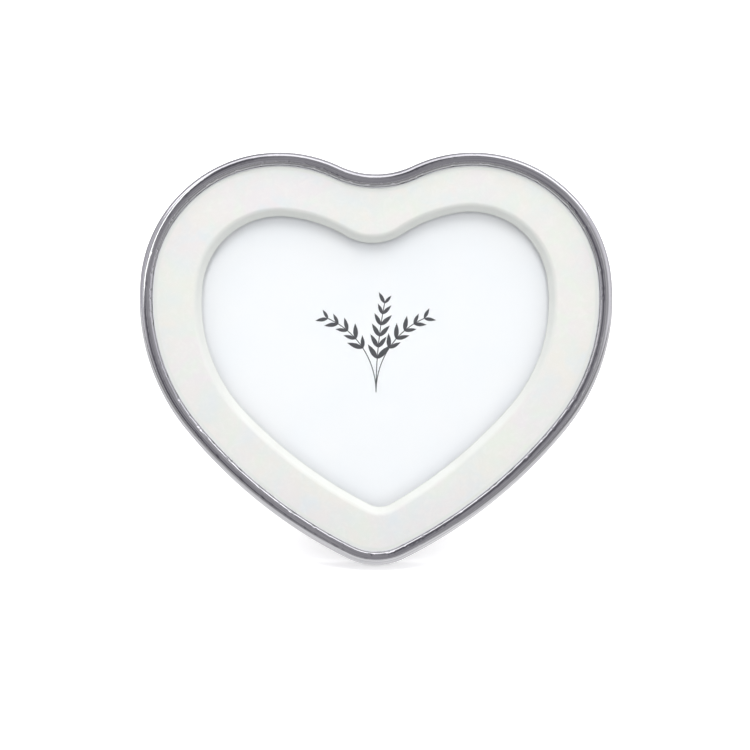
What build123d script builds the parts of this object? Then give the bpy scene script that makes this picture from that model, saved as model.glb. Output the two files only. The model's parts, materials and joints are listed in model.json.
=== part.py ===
from build123d import *
import os
from math import atan, cos, radians, sin, tan

# Heart shaped photo frame: a cast aluminium heart with a raised rim, an enamelled face, a glazed
# opening and an easel back. It stands on its tip and on its leg, leaning back. Millimetres.
# The pieces are drawn in the frame's own plane, with X to the right, Y up the face and Z from the
# back plane of the casting (zero) towards the viewer, and are then stood up on the floor.

# Outer outline: arcs that run on from each other, from the cleft round one lobe to the tip,
# each with its radius and the angle that it turns through.
# The flank between the side and the tip is worked out, so that the outline meets the centreline.
cleft_height = 50.0  # cleft above the middle of the face
cleft_radius = 27.5
cleft_angle = 25.4
lobe_radius = 44.8
lobe_angle = 109.7
side_radius = 66.5
side_angle = 45.0
tip_radius = 20.8
tip_angle = 26.4

# Opening outline, made the same way, with one more arc where the cleft runs into the lobe.
# It was shaped by hand in the mould and sits a little turned in the heart.
cleft_band = 22.0  # outer cleft down to the opening's cleft
opening_cleft_radius = 17.5
opening_cleft_angle = 31.9
opening_shoulder_radius = 45.4
opening_shoulder_angle = 24.6
opening_lobe_radius = 24.9
opening_lobe_angle = 89.4
opening_side_radius = 50.8
opening_side_angle = 50.4
opening_tip_radius = 7.2
opening_tip_angle = 28.5
opening_tilt = 1.4

# Casting, from the back plane forwards
rim_width = 4.3
rim_height = 1.5  # crest above the enamel
rim_round = 2.1
back_round = 1.2
face_depth = 10.0  # back plane to the enamelled face
enamel_thickness = 0.8
bevel_run = 2.1
bevel_skin = 0.6  # enamel on the bevel, measured across
shoulder_round = 1.2
lip_thickness = 0.8
pocket_margin = 3.0  # rebate beyond the opening
rest_depth = 0.5  # flat ground on the tip, where the frame stands

# What lies in the pocket, from the glass backwards
glass_thickness = 2.0
print_thickness = 0.25
card_thickness = 0.8
board_thickness = 2.5
velvet_thickness = 0.5
board_recess = 0.3  # velvet below the back plane
pocket_fit = 0.4  # play all round the glass and the board

# Turn buttons and their screws
button_setback = 5.0  # screw outside the pocket's edge
button_reach = 9.0
button_thickness = 1.0
button_pivot_radius = 3.2
button_tip_radius = 2.3
button_lip_width = 0.9  # upturned end for the finger
button_lip_height = 1.3
button_gap = 0.1
button_heading_angles = (12.0, 128.0)  # outline's heading beside each screw, clockwise
screw_radius = 1.1
screw_head_radius = 2.3
screw_head_height = 1.4
screw_depth = 5.0
screw_play = 0.06

# Hinge and easel leg
lean = 16.0
leg_opening = 30.0
hinge_drop = 15.6  # below the board's cleft
hinge_width = 24.0
leaf_length = 11.0
leaf_thickness = 0.6
leaf_corner = 2.0
knuckle_width = 8.0
knuckle_gap = 0.2
knuckle_lift = 0.3  # moving knuckle above the velvet
swing_gap = 0.4
fold_gap = 0.6  # folded leg above the velvet
stop_gap = 0.1
pin_radius = 1.0
pin_play = 0.05
leg_core_thickness = 2.8
leg_top_width = 25.0
leg_waist_width = 23.0
leg_foot_width = 36.0
leg_corner = 3.0
foot_trim = 1.0
waist_share = 0.45
rivet_radius = 1.1
rivet_head_radius = 2.0
rivet_head_height = 0.9
rivet_spread = 15.0  # between the two rivets of a leaf
rivet_offset = 6.8  # from the hinge line
overrun = 1.0  # how far a cutter passes what it cuts
bend_steps = 3  # flat bands in a quarter round

forward = (0, 0, 1)  # from the back plane towards the viewer


def close_heart(cleft, rounds, tip):
    """Signed radius and turn of each arc of half a heart, with the flank that closes it."""
    arcs = [(-cleft[0], -cleft[1])] + list(rounds)
    flank_start = sum(turn for radius, turn in arcs)
    flank_end = 180 - tip[1]
    reach = 0
    heading = 0
    for radius, turn in arcs:
        reach += radius * (sin(radians(heading + turn)) - sin(radians(heading)))
        heading += turn
    reach -= tip[0] * sin(radians(flank_end))
    flank_radius = -reach / (sin(radians(flank_end)) - sin(radians(flank_start)))
    return arcs + [(flank_radius, flank_end - flank_start), tip]


outer_arcs = close_heart(
    (cleft_radius, cleft_angle),
    [(lobe_radius, lobe_angle), (side_radius, side_angle)],
    (tip_radius, tip_angle),
)
opening_arcs = close_heart(
    (opening_cleft_radius, opening_cleft_angle),
    [
        (opening_shoulder_radius, opening_shoulder_angle),
        (opening_lobe_radius, opening_lobe_angle),
        (opening_side_radius, opening_side_angle),
    ],
    (opening_tip_radius, opening_tip_angle),
)
opening_cleft_height = cleft_height - cleft_band


def heart(arcs, top, grow=0.0, level=0.0):
    """Flat heart whose outline lies the distance grow outside the given arcs."""
    start = Vector(0, top + grow, 0)
    tangent = Vector(1, 0, 0)
    edges = []
    for radius, turn in arcs:
        arc = JernArc(start, tangent, abs(radius + grow), -turn)
        edges.append(arc.edge())
        start = arc @ 1
        tangent = arc % 1
    edges += [mirror(edge, about=Plane.YZ).edge() for edge in edges]
    return Pos(0, 0, level) * make_face(edges)


def outer_heart(grow=0.0, level=0.0):
    return heart(outer_arcs, cleft_height, grow, level)


def opening_heart(grow=0.0, level=0.0):
    return heart(opening_arcs, opening_cleft_height, grow, level)


def raise_face(face, amount):
    return extrude(face, amount=amount, dir=forward)


def outline_place(arcs, top, grow, heading):
    """Point of the outline's round part where it runs at the given heading, clockwise from +X."""
    across = 0
    height = top + grow
    start = 0
    for radius, turn in arcs:
        end = start + turn
        stop = min(end, heading) if turn > 0 else end
        size = radius + grow
        across += size * (sin(radians(stop)) - sin(radians(start)))
        height += size * (cos(radians(stop)) - cos(radians(start)))
        if turn > 0 and stop < end:
            break
        start = end
    return across, height


# Levels, from the back plane towards the viewer
velvet_level = board_recess
board_level = velvet_level + velvet_thickness
card_level = board_level + board_thickness
print_level = card_level + card_thickness
glass_level = print_level + print_thickness
seat_level = glass_level + glass_thickness
ledge_level = seat_level + lip_thickness
floor_level = face_depth - enamel_thickness
crest_level = face_depth + rim_height
bevel_slope = bevel_run / (face_depth - ledge_level)


def quarter_round(radius):
    """Step in and rise of each point of a quarter round, from upright to level."""
    points = []
    for step in range(bend_steps + 1):
        angle = radians(90 * step / bend_steps)
        points.append((radius * (1 - cos(angle)), radius * sin(angle)))
    return points


def stack(outline, section):
    """Solid through one outline at each (grow, level) of its section, joined by straight bands."""
    return loft([outline(grow, level) for grow, level in section], ruled=True)


def button_places():
    """Pivot and direction of each turn button, by name."""
    grow = pocket_margin + button_setback
    places = {"turn_button_cleft": (0, opening_cleft_height + grow, -90)}
    for height_name, heading in zip(("upper", "lower"), button_heading_angles):
        across, height = outline_place(opening_arcs, opening_cleft_height, grow, heading)
        inward = -90 - heading
        places[f"turn_button_{height_name}_right"] = (across, height, inward)
        places[f"turn_button_{height_name}_left"] = (-across, height, 180 - inward)
    return places


def make_casting():
    """Ring with a half round rim, a sunk floor for the enamel, a bevel, a lip and a rebate."""
    wall = [(-step_in, back_round - rise) for step_in, rise in reversed(quarter_round(back_round))]
    for step_in, rise in quarter_round(rim_round):
        wall.append((-step_in, crest_level - rim_round + rise))
    casting = stack(outer_heart, wall)
    recess = [(-rim_width, floor_level)]
    for step_in, rise in quarter_round(rim_round):
        recess.append((step_in - rim_width, crest_level - rim_round + rise))
    recess.append((rim_round - rim_width, crest_level + overrun))
    casting -= stack(outer_heart, recess)
    bevel_rise = floor_level + overrun - ledge_level
    bevel = [(bevel_skin, ledge_level), (bevel_skin + bevel_slope * bevel_rise, ledge_level + bevel_rise)]
    hole = [(0, seat_level - overrun), (0, ledge_level + overrun)]
    for cutter in (bevel, hole):
        casting -= Rot(0, 0, opening_tilt) * stack(opening_heart, cutter)
    casting -= stack(opening_heart, [(pocket_margin, -overrun), (pocket_margin, seat_level)])
    for across, height, inward in button_places().values():
        casting -= Pos(across, height, 0) * Cylinder(
            screw_radius, screw_depth, align=(Align.CENTER, Align.CENTER, Align.MIN)
        )
    return casting


def make_enamel(casting):
    """Enamel poured inside the rim, rounded over the shoulder and down the bevel."""
    enamel = raise_face(outer_heart(-rim_width / 2, ledge_level), face_depth - ledge_level)
    bevel_angle = atan(bevel_slope)
    shoulder_reach = bevel_run + shoulder_round * tan(radians(90) / 2 - bevel_angle / 2)
    opening = [(0, ledge_level)]
    for step in range(bend_steps, -1, -1):
        angle = (radians(90) - bevel_angle) * step / bend_steps
        drop = shoulder_round * (1 - cos(angle))
        opening.append((shoulder_reach - shoulder_round * sin(angle), face_depth - drop))
    opening.append((shoulder_reach, face_depth + overrun))
    enamel -= Rot(0, 0, opening_tilt) * stack(opening_heart, opening)
    return enamel - casting


def pocket_sheet(level, thickness):
    return raise_face(opening_heart(pocket_margin - pocket_fit, level), thickness)


barrel_radius = (fold_gap + leg_core_thickness + velvet_thickness + leaf_thickness - knuckle_lift) / 2
axis_level = velvet_level - knuckle_lift - barrel_radius
hinge_height = opening_cleft_height + pocket_margin - pocket_fit - hinge_drop
leaf_inner = barrel_radius - leaf_thickness  # inner face of the leg leaf from the hinge line
stop_drop = velvet_level - leaf_thickness - axis_level - stop_gap
stop_reach = (stop_drop + leaf_inner * cos(radians(leg_opening))) / sin(radians(leg_opening))


def hinge_barrel(radius, width, across=0.0):
    return Pos(across, 0, 0) * Rot(0, 90, 0) * Cylinder(radius, width)


def centred_box(width, low, high, bottom, top):
    """Box of the given width across X, between two heights and two levels."""
    size = Box(width, high - low, top - bottom, align=(Align.CENTER, Align.MIN, Align.MIN))
    return Pos(0, low, bottom) * size


def headed_pin(head_radius, head_height, radius, length):
    """Screw or rivet along Z, with its head below zero and its shank above."""
    head = Cylinder(head_radius, head_height, align=(Align.CENTER, Align.CENTER, Align.MAX))
    return head + Cylinder(radius, length, align=(Align.CENTER, Align.CENTER, Align.MIN))


def leaf_rivets(level, length, direction):
    """Two rivets through a leaf: heads outside it, shanks hammered flush inside."""
    rivet = headed_pin(rivet_head_radius, rivet_head_height, rivet_radius, length)
    rivets = []
    for side in (-1, 1):
        rivets.append(Pos(side * rivet_spread / 2, direction * rivet_offset, level) * rivet)
    return rivets


def rivet_holes(direction, low, high):
    holes = []
    for side in (-1, 1):
        place = Pos(side * rivet_spread / 2, direction * rivet_offset, low)
        holes.append(
            place * Cylinder(rivet_radius, high - low, align=(Align.CENTER, Align.CENTER, Align.MIN))
        )
    return holes


def leg_outline():
    """Leg drawn from the hinge line down: square shoulders, a slight waist and a wide foot."""
    top = -barrel_radius - swing_gap
    foot = -leg_length - foot_trim
    waist = top + waist_share * (foot - top)
    right_side = ThreePointArc(
        (leg_top_width / 2, top), (leg_waist_width / 2, waist), (leg_foot_width / 2, foot)
    )
    left_side = mirror(right_side, about=Plane.YZ)
    face = make_face(
        [
            right_side.edge(),
            Line((leg_foot_width / 2, foot), (-leg_foot_width / 2, foot)).edge(),
            left_side.edge(),
            Line((-leg_top_width / 2, top), (leg_top_width / 2, top)).edge(),
        ]
    )
    return fillet(face.vertices(), leg_corner)


# Standing: the ground flat on the tip touches the floor, and so does the foot of the leg
tip_height = cleft_height
turned = 0
for arc_radius, arc_turn in outer_arcs:
    tip_height += arc_radius * (cos(radians(turned + arc_turn)) - cos(radians(turned)))
    turned += arc_turn
lean_cos = cos(radians(lean))
lean_sin = sin(radians(lean))
lowest = (tip_height + back_round) * lean_cos + back_round * lean_sin - back_round
lift = -lowest - rest_depth
hinge_rise = hinge_height * lean_cos + axis_level * lean_sin + lift
leg_length = hinge_rise / cos(radians(leg_opening - lean))
stand = Plane(origin=(0, 0, lift), x_dir=(1, 0, 0), z_dir=(0, -lean_cos, lean_sin))
hinge_place = Pos(0, hinge_height, axis_level)
leg_place = hinge_place * Rot(leg_opening, 0, 0)

frame_casting = make_casting()
enamel_border = make_enamel(frame_casting)
glass_pane = pocket_sheet(glass_level, glass_thickness)
photo_print = pocket_sheet(print_level, print_thickness)
filler_card = pocket_sheet(card_level, card_thickness)
backing_board = pocket_sheet(board_level, board_thickness)
backing_velvet = pocket_sheet(velvet_level, velvet_thickness)

# Board leaf, drawn from the hinge line
leaf_back = velvet_level - axis_level
board_leaf = centred_box(hinge_width, 0, leaf_length, leaf_back - leaf_thickness, leaf_back)
board_leaf = fillet(board_leaf.edges().filter_by(Axis.Z).group_by(Axis.Y)[-1], leaf_corner)
side_knuckle = (hinge_width - knuckle_width) / 2
for knuckle_side in (-1, 1):
    knuckle_middle = knuckle_side * (knuckle_width + side_knuckle) / 2
    board_leaf += hinge_barrel(barrel_radius, side_knuckle, knuckle_middle)
clear_width = knuckle_width + knuckle_gap
clear_reach = barrel_radius + swing_gap
board_leaf -= centred_box(clear_width, -clear_reach, clear_reach, -clear_reach, leaf_back + overrun)
board_leaf -= hinge_barrel(pin_radius, hinge_width + overrun)
for rivet_hole in rivet_holes(1, leaf_back - leaf_thickness - overrun, leaf_back + overrun):
    board_leaf -= rivet_hole

# Leg leaf: a middle knuckle, a plate on the leg and a tongue that stops the leg when it is open
leg_leaf = centred_box(hinge_width, -leaf_length, -clear_reach, -barrel_radius, -leaf_inner)
leg_leaf = fillet(leg_leaf.edges().filter_by(Axis.Z).group_by(Axis.Y)[0], leaf_corner)
tongue_width = knuckle_width - knuckle_gap
leg_leaf += centred_box(tongue_width, -clear_reach, stop_reach, -barrel_radius, -leaf_inner)
leg_leaf += hinge_barrel(barrel_radius, tongue_width)
leg_leaf -= hinge_barrel(pin_radius + pin_play, hinge_width + overrun)
for rivet_hole in rivet_holes(-1, -barrel_radius - overrun, -leaf_inner + overrun):
    leg_leaf -= rivet_hole

hinge_pin = hinge_barrel(pin_radius, hinge_width)

# Board rivets go through the leaf, the velvet and the board
leaf_level = leaf_back - leaf_thickness
board_rivets = leaf_rivets(leaf_level, card_level - axis_level - leaf_level, 1)
for rivet in board_rivets:
    seated = hinge_place * rivet
    backing_board -= seated
    backing_velvet -= seated

# Leg: a core with velvet wrapped over its back and its edges
leg_face = leg_outline()
leg_inner = -leaf_inner + velvet_thickness + leg_core_thickness
core_face = offset(leg_face, amount=-velvet_thickness)
easel_leg = Pos(0, 0, -leaf_inner + velvet_thickness) * raise_face(core_face, leg_core_thickness)
leg_velvet = Pos(0, 0, -leaf_inner) * raise_face(leg_face, velvet_thickness + leg_core_thickness)
leg_velvet -= easel_leg
leg_rivets = leaf_rivets(-barrel_radius, leg_inner + barrel_radius, -1)
for rivet in leg_rivets:
    easel_leg -= rivet
    leg_velvet -= rivet

# Everything stands up, and the floor trims the tip and the foot
upright = {
    "frame_casting": frame_casting,
    "enamel_border": enamel_border,
    "glass_pane": glass_pane,
    "photo_print": photo_print,
    "filler_card": filler_card,
    "backing_board": backing_board,
    "backing_velvet": backing_velvet,
    "hinge_board_leaf": hinge_place * board_leaf,
    "hinge_pin": hinge_place * hinge_pin,
    "board_rivets": Compound(children=[hinge_place * rivet for rivet in board_rivets]),
    "easel_leg": leg_place * easel_leg,
    "leg_velvet": leg_place * leg_velvet,
    "hinge_leg_leaf": leg_place * leg_leaf,
    "leg_rivets": Compound(children=[leg_place * rivet for rivet in leg_rivets]),
}

# Turn buttons point at the middle of the board, each under its own screw
button_tip = Pos(button_reach - button_tip_radius) * Circle(button_tip_radius)
button_ends = make_hull(Circle(button_pivot_radius).edges() + button_tip.edges())
button = extrude(button_ends, amount=-button_thickness)
button -= Cylinder(screw_radius + screw_play, 2 * (button_thickness + overrun))
tip_band = Pos(button_reach, 0) * Rectangle(2 * button_lip_width, 2 * button_pivot_radius)
button += extrude(button_ends & tip_band, amount=-button_thickness - button_lip_height)
head_level = -2 * button_gap - button_thickness
screw = Pos(0, 0, head_level) * headed_pin(
    screw_head_radius, screw_head_height, screw_radius, screw_depth - head_level
)
screws = []
for name, (across, height, inward) in button_places().items():
    pivot = Pos(across, height, 0)
    upright[name] = pivot * Rot(0, 0, inward) * Pos(0, 0, -button_gap) * button
    screws.append(pivot * screw)
upright["button_screws"] = Compound(children=screws)

ground = Pos(0, 0, -leg_foot_width) * Box(
    2 * leg_length + leg_foot_width, 2 * leg_length, 2 * leg_foot_width
)
standing = {name: stand.location * piece for name, piece in upright.items()}
for name in ("frame_casting", "easel_leg", "leg_velvet"):
    standing[name] -= ground

# The origin is the middle of the whole part's footprint, on the floor
whole = Compound(children=[Compound(piece.wrapped) for piece in standing.values()]).bounding_box()
centre = Pos(-whole.center().X, -whole.center().Y, -whole.min.Z)
os.makedirs("parts", exist_ok=True)
for name, piece in standing.items():
    export_step(centre * piece, f"parts/{name}.step")

print("whole part", whole.size)
hinge_line = centre * stand.location * hinge_place
print("leg_hinge at", hinge_line.position, "leg length", round(leg_length, 2))
for name, (across, height, inward) in button_places().items():
    pivot = centre * stand.location * Pos(across, height, 0)
    print(name, "at", pivot.position, "axis", stand.z_dir)
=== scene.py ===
# %% [markdown]
# # A heart shaped photo frame
# The real thing is a heart cast in aluminium. Its rim is polished by hand, its face is filled with
# pearly enamel, and a pane, a print and a board with an easel leg lie in a pocket at the back.
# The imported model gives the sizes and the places. This file gives every piece its finish, and makes
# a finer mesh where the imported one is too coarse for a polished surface.

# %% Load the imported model
import json
from math import atan, cos, pi, radians, sin, sqrt, tan

import bmesh
import bpy
import numpy as np
from mathutils import Matrix, Vector

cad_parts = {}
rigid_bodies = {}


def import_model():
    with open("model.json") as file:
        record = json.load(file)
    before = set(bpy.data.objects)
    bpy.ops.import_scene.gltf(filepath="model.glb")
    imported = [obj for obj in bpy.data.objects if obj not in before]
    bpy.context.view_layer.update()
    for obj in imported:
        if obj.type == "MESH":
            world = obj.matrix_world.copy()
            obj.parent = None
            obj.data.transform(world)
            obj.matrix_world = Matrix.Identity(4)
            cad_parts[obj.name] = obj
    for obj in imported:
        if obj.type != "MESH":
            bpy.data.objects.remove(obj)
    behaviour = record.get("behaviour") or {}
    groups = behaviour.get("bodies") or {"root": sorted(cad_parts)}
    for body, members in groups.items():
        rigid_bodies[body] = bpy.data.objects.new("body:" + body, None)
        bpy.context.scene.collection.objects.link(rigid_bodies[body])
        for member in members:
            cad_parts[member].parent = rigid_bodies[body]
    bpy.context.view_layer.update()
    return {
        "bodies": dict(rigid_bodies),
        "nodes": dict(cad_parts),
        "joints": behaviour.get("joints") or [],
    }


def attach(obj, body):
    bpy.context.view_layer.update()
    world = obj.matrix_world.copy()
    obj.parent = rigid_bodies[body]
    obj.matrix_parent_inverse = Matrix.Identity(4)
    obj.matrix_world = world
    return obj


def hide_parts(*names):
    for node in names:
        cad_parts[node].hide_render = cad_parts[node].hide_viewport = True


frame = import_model()
nodes = frame["nodes"]
joints = {joint["name"]: joint for joint in frame["joints"]}

# %% [markdown]
# ## The frame's own plane
# The frame leans back on its leg, and a sloping heart is awkward to draw. So each piece is drawn
# flat, with X to the right, Y up the face and Z from the casting's back plane to the viewer, and
# its mesh is then stood up. The upper button's pivot lies on that back plane and its axis is
# square to it, so the joint gives the whole placement.

# %% Stand a flat drawing up
mm = 0.001
cleft_height = 50.0 * mm
cleft_band = 22.0 * mm
pocket_margin = 3.0 * mm
button_setback = 5.0 * mm

swivel = joints["button_cleft_swivel"]
sideways = Vector((1, 0, 0))
outward = Vector(swivel["axis"]).normalized()
upward = outward.cross(sideways)
pivot_height = cleft_height - cleft_band + pocket_margin + button_setback
middle = Vector(swivel["pos_m"]) - pivot_height * upward
stand = Matrix.Translation(middle) @ Matrix((sideways, upward, outward)).transposed().to_4x4()
print("the face leans back", round(90 - outward.angle(Vector((0, 0, 1))) * 180 / pi, 2), "degrees")

# %% [markdown]
# ## Small helpers for node trees
# Both kinds of node tree in this file, for shapes and for finishes, are built in the same way: add
# a node, choose its settings, then fill or link its inputs. One helper does that in a single call,
# so that the cells below read like a list of steps. The others write sums and mixes with fewer
# words. Some nodes have sockets of the same name for each kind of value, so their inputs go by
# number: in a Random Value node, 0 and 1 are the ends of a vector, and 2 and 3 those of a number.

# %% Helpers for node trees
def put(tree, kind, inputs=None, **settings):
    """Adds a node, applies its settings, and fills or links each of its named inputs."""
    node = tree.nodes.new(kind)
    for name, value in settings.items():
        setattr(node, name, value)
    for key, value in (inputs or {}).items():
        if isinstance(value, bpy.types.NodeSocket):
            tree.links.new(value, node.inputs[key])
        else:
            node.inputs[key].default_value = value
    return node


def titled(values):
    """Socket names for keywords: line_width becomes Line Width."""
    return {label.replace("_", " ").title(): value for label, value in values.items()}


def work_out(tree, operation, *values):
    """A sum on numbers: the socket of its result."""
    return put(tree, "ShaderNodeMath", dict(enumerate(values)), operation=operation).outputs[0]


def work_out_vector(tree, operation, *values):
    """A sum on vectors: the socket of its result, which is a number for a length or a product."""
    inputs = dict(enumerate(values))
    if operation == "SCALE":
        inputs = {0: values[0], "Scale": values[1]}
    answer = "Value" if operation in ("DOT_PRODUCT", "LENGTH") else "Vector"
    return put(tree, "ShaderNodeVectorMath", inputs, operation=operation).outputs[answer]


def compare(tree, operation, first, second):
    """Whether two numbers compare as asked: the socket of the answer."""
    return put(tree, "FunctionNodeCompare", {0: first, 1: second}, operation=operation).outputs[0]


def blend_values(tree, factor, first, second):
    """A mix of two numbers."""
    return put(tree, "ShaderNodeMix", {0: factor, 2: first, 3: second}).outputs[0]


def blend_vectors(tree, factor, first, second):
    """A mix of two vectors."""
    return put(tree, "ShaderNodeMix", {0: factor, 4: first, 5: second}, data_type="VECTOR").outputs[1]


def blend_colours(tree, factor, first, second):
    """A mix of two colours, each a socket or four numbers."""
    return put(tree, "ShaderNodeMix", {0: factor, 6: first, 7: second}, data_type="RGBA").outputs[2]


# %% [markdown]
# ## From a node tree to a plain mesh
# Geometry Nodes work as a modifier, but a finished piece has to be a plain mesh. So a tree runs on a
# host object, its result is kept as a mesh, and the modifier is taken off again. A host is only
# there to be read: loose points, or a head to copy. It is deleted once its result is kept. Other
# meshes are grown in code, face by face, with the bmesh module. The last helper is the end of every
# piece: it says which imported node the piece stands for, which body carries it and what it's made of.

# %% Helpers for meshes and objects
def open_tree(name, tree_kind, inputs, outputs):
    """A new tree with named inputs (name, kind, default value) and outputs (name, kind)."""
    tree = bpy.data.node_groups.new(name, tree_kind)
    for label, kind in outputs:
        tree.interface.new_socket(label, in_out="OUTPUT", socket_type="NodeSocket" + kind)
    for label, kind, value in inputs:
        socket = tree.interface.new_socket(label, in_out="INPUT", socket_type="NodeSocket" + kind)
        if value is not None:
            socket.default_value = value
    return tree, tree.nodes.new("NodeGroupInput").outputs


def open_shape_tree(name, inputs):
    """A new geometry tree: it takes a shape, the given inputs and a material."""
    every = [("Geometry", "Geometry", None), *inputs, ("Material", "Material", None)]
    return open_tree(name, "GeometryNodeTree", every, [("Geometry", "Geometry")])


def close_shape_tree(tree, shape, material):
    """Ends a geometry tree: instances made real, the material set, the result put out."""
    real = put(tree, "GeometryNodeRealizeInstances", {"Geometry": shape}).outputs[0]
    finished = put(tree, "GeometryNodeSetMaterial", {"Geometry": real, "Material": material}).outputs[0]
    put(tree, "NodeGroupOutput", {"Geometry": finished})


def grow_shape(host, tree, name, values):
    """Runs a geometry tree on a host object and keeps the result as a plain mesh."""
    modifier = host.modifiers.new(tree.name, "NODES")
    modifier.node_group = tree
    for item in tree.interface.items_tree:
        if item.in_out == "INPUT" and item.name in values:
            modifier[item.identifier] = values[item.name]
    depsgraph = bpy.context.evaluated_depsgraph_get()
    mesh = bpy.data.meshes.new_from_object(host.evaluated_get(depsgraph), depsgraph=depsgraph)
    mesh.name = name
    host.modifiers.remove(modifier)
    return mesh


def keep(grown, name):
    """Turns what was grown in a bmesh into a mesh."""
    mesh = bpy.data.meshes.new(name)
    grown.to_mesh(mesh)
    grown.free()
    return mesh


def place_object(name, content):
    """A new object for a mesh, a lamp or a camera, at the origin and linked to the scene."""
    placed = bpy.data.objects.new(name, content)
    bpy.context.scene.collection.objects.link(placed)
    return placed


def show(mesh, name):
    """A visible piece for a mesh that is already in place."""
    print(name, "faces", len(mesh.polygons))
    return place_object(name, mesh)


def drop(*hosts):
    """Deletes helper objects once their result has been kept."""
    for host in hosts:
        bpy.data.objects.remove(host)


def finish_piece(mesh, name, material, node, body):
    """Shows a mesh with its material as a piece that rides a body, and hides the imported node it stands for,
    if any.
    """
    mesh.materials.clear()
    mesh.materials.append(material)
    piece = show(mesh, name)
    if node:
        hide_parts(node)
    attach(piece, body)


# %% [markdown]
# ## The two hearts
# A pattern maker would set out each heart with a compass: a few arcs that run into each other
# without a corner. Only the long flank isn't chosen, because it has to end on the centreline. The
# same arcs serve every offset line, since an arc that moves outwards keeps its centre.

# %% Set out the hearts
def close_heart(cleft, rounds, tip):
    """Signed radius and turn in degrees of each arc of half a heart, its flank worked out."""
    arcs = [(-cleft[0], -cleft[1])] + list(rounds)
    flank_start = sum(turn for radius, turn in arcs)
    flank_end = 180 - tip[1]
    reach = 0
    heading = 0
    for radius, turn in arcs:
        reach += radius * (sin(radians(heading + turn)) - sin(radians(heading)))
        heading += turn
    reach -= tip[0] * sin(radians(flank_end))
    flank_radius = -reach / (sin(radians(flank_end)) - sin(radians(flank_start)))
    return arcs + [(flank_radius, flank_end - flank_start), tip]


outer_arcs = close_heart(
    (27.5 * mm, 25.4),
    [(44.8 * mm, 109.7), (66.5 * mm, 45.0)],
    (20.8 * mm, 26.4),
)
opening_arcs = close_heart(
    (17.5 * mm, 31.9),
    [(45.4 * mm, 24.6), (24.9 * mm, 89.4), (50.8 * mm, 50.4)],
    (7.2 * mm, 28.5),
)
opening_cleft_height = cleft_height - cleft_band
opening_tilt = radians(1.4)


def walk_round(arcs, top, count, tilt=0.0):
    """Evenly spaced points round a heart, clockwise from its cleft, and the way out at each."""
    half = sum(abs(radius) * radians(abs(turn)) for radius, turn in arcs)
    places, ways_out = [], []
    for index in range(count // 2 + 1):
        left = half * index / (count // 2)
        across, height, heading = 0.0, top, 0.0
        for radius, turn in arcs:
            length = abs(radius) * radians(abs(turn))
            share = min(1.0, left / length)
            after = heading + turn * share
            across += radius * (sin(radians(after)) - sin(radians(heading)))
            height += radius * (cos(radians(after)) - cos(radians(heading)))
            heading = after
            left -= length * share
            if share < 1.0:
                break
        places.append((across, height))
        ways_out.append((sin(radians(heading)), cos(radians(heading))))
    for index in range(count // 2 - 1, 0, -1):
        places.append((-places[index][0], places[index][1]))
        ways_out.append((-ways_out[index][0], ways_out[index][1]))
    turn_back = np.array([[cos(tilt), sin(tilt)], [-sin(tilt), cos(tilt)]])
    return np.array(places) @ turn_back, np.array(ways_out) @ turn_back


stations = 1200
outlines = {
    "outer": walk_round(outer_arcs, cleft_height, stations),
    "opening": walk_round(opening_arcs, opening_cleft_height, stations, opening_tilt),
    "pocket": walk_round(opening_arcs, opening_cleft_height, stations),
}
print("heart across", round(float(np.ptp(outlines["outer"][0][:, 0])) / mm, 1), "mm")

# %% [markdown]
# ## One tree for every ring
# The casting and the enamel are both a section carried round the heart. A plain sweep can't do it,
# because the section is stretched between two different hearts, the outer one and the opening. So
# this tree starts from a grid: one row of points for each station round the heart and one column
# for each corner of the section. Each corner says on which outline it rides, how far outside it and
# how high. A little noise then dents the surface inwards, as a polisher's hand does.

# %% Outlines and sections as loose points
ring_order = ("outer", "opening", "pocket", "outer")
usual_wear = 0.1  # of a corner that names none


def outline_host():
    """All outlines as one mesh of loose points, in ring_order, with the way out at each."""
    points = np.concatenate([outlines[name][0] for name in ring_order])
    ways = np.concatenate([outlines[name][1] for name in ring_order])
    mesh = bpy.data.meshes.new("outline_stations")
    mesh.from_pydata([(x, y, 0.0) for x, y in points], [], [])
    way_out = mesh.attributes.new("way_out", "FLOAT_VECTOR", "POINT")
    way_out.data.foreach_set("vector", np.pad(ways, ((0, 0), (0, 1))).ravel())
    return place_object("outline_stations", mesh)


def section_host(corners):
    """A section as loose points: offset, level, outline number and share, polish and wear."""
    mesh = bpy.data.meshes.new("section_corners")
    mesh.from_pydata([(corner[1], corner[2], corner[0]) for corner in corners], [], [])
    lengths = [0.0]
    for before, after in zip(corners, corners[1:]):
        lengths.append(lengths[-1] + abs(complex(after[1] - before[1], after[2] - before[2])))
    columns = {"across": lengths}
    columns["polish"] = [corner[3] for corner in corners]
    columns["wear"] = [corner[4] if len(corner) > 4 else usual_wear for corner in corners]
    for label, numbers in columns.items():
        attribute = mesh.attributes.new(label, "FLOAT", "POINT")
        attribute.data.foreach_set("value", numbers)
    return place_object("section_corners", mesh)


outline_points = outline_host()
print("outline points", len(outline_points.data.vertices))

# %% [markdown]
# ## Lay the grid round the heart
# A point of the grid knows only its own number. Divided by the number of columns, it gives the
# station, and what is left over is the corner. Sample Index then reads the outline at that station
# and the section at that corner. The grid has one row and one column more than it needs. They fall
# on the first ones, so merging close points shuts the ring both ways.

# %% Grid of the ring tree
weld_distance = 0.0005 * mm


def read(tree, source, value, at, kind="FLOAT_VECTOR"):
    """A value of another shape, at the point of the given number."""
    inputs = {"Geometry": source, "Value": value, "Index": at}
    return put(tree, "GeometryNodeSampleIndex", inputs, data_type=kind).outputs["Value"]


def named(tree, label, kind="FLOAT"):
    """A value that is stored on a shape under a name."""
    inputs = {"Name": label}
    return put(tree, "GeometryNodeInputNamedAttribute", inputs, data_type=kind).outputs["Attribute"]


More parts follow.
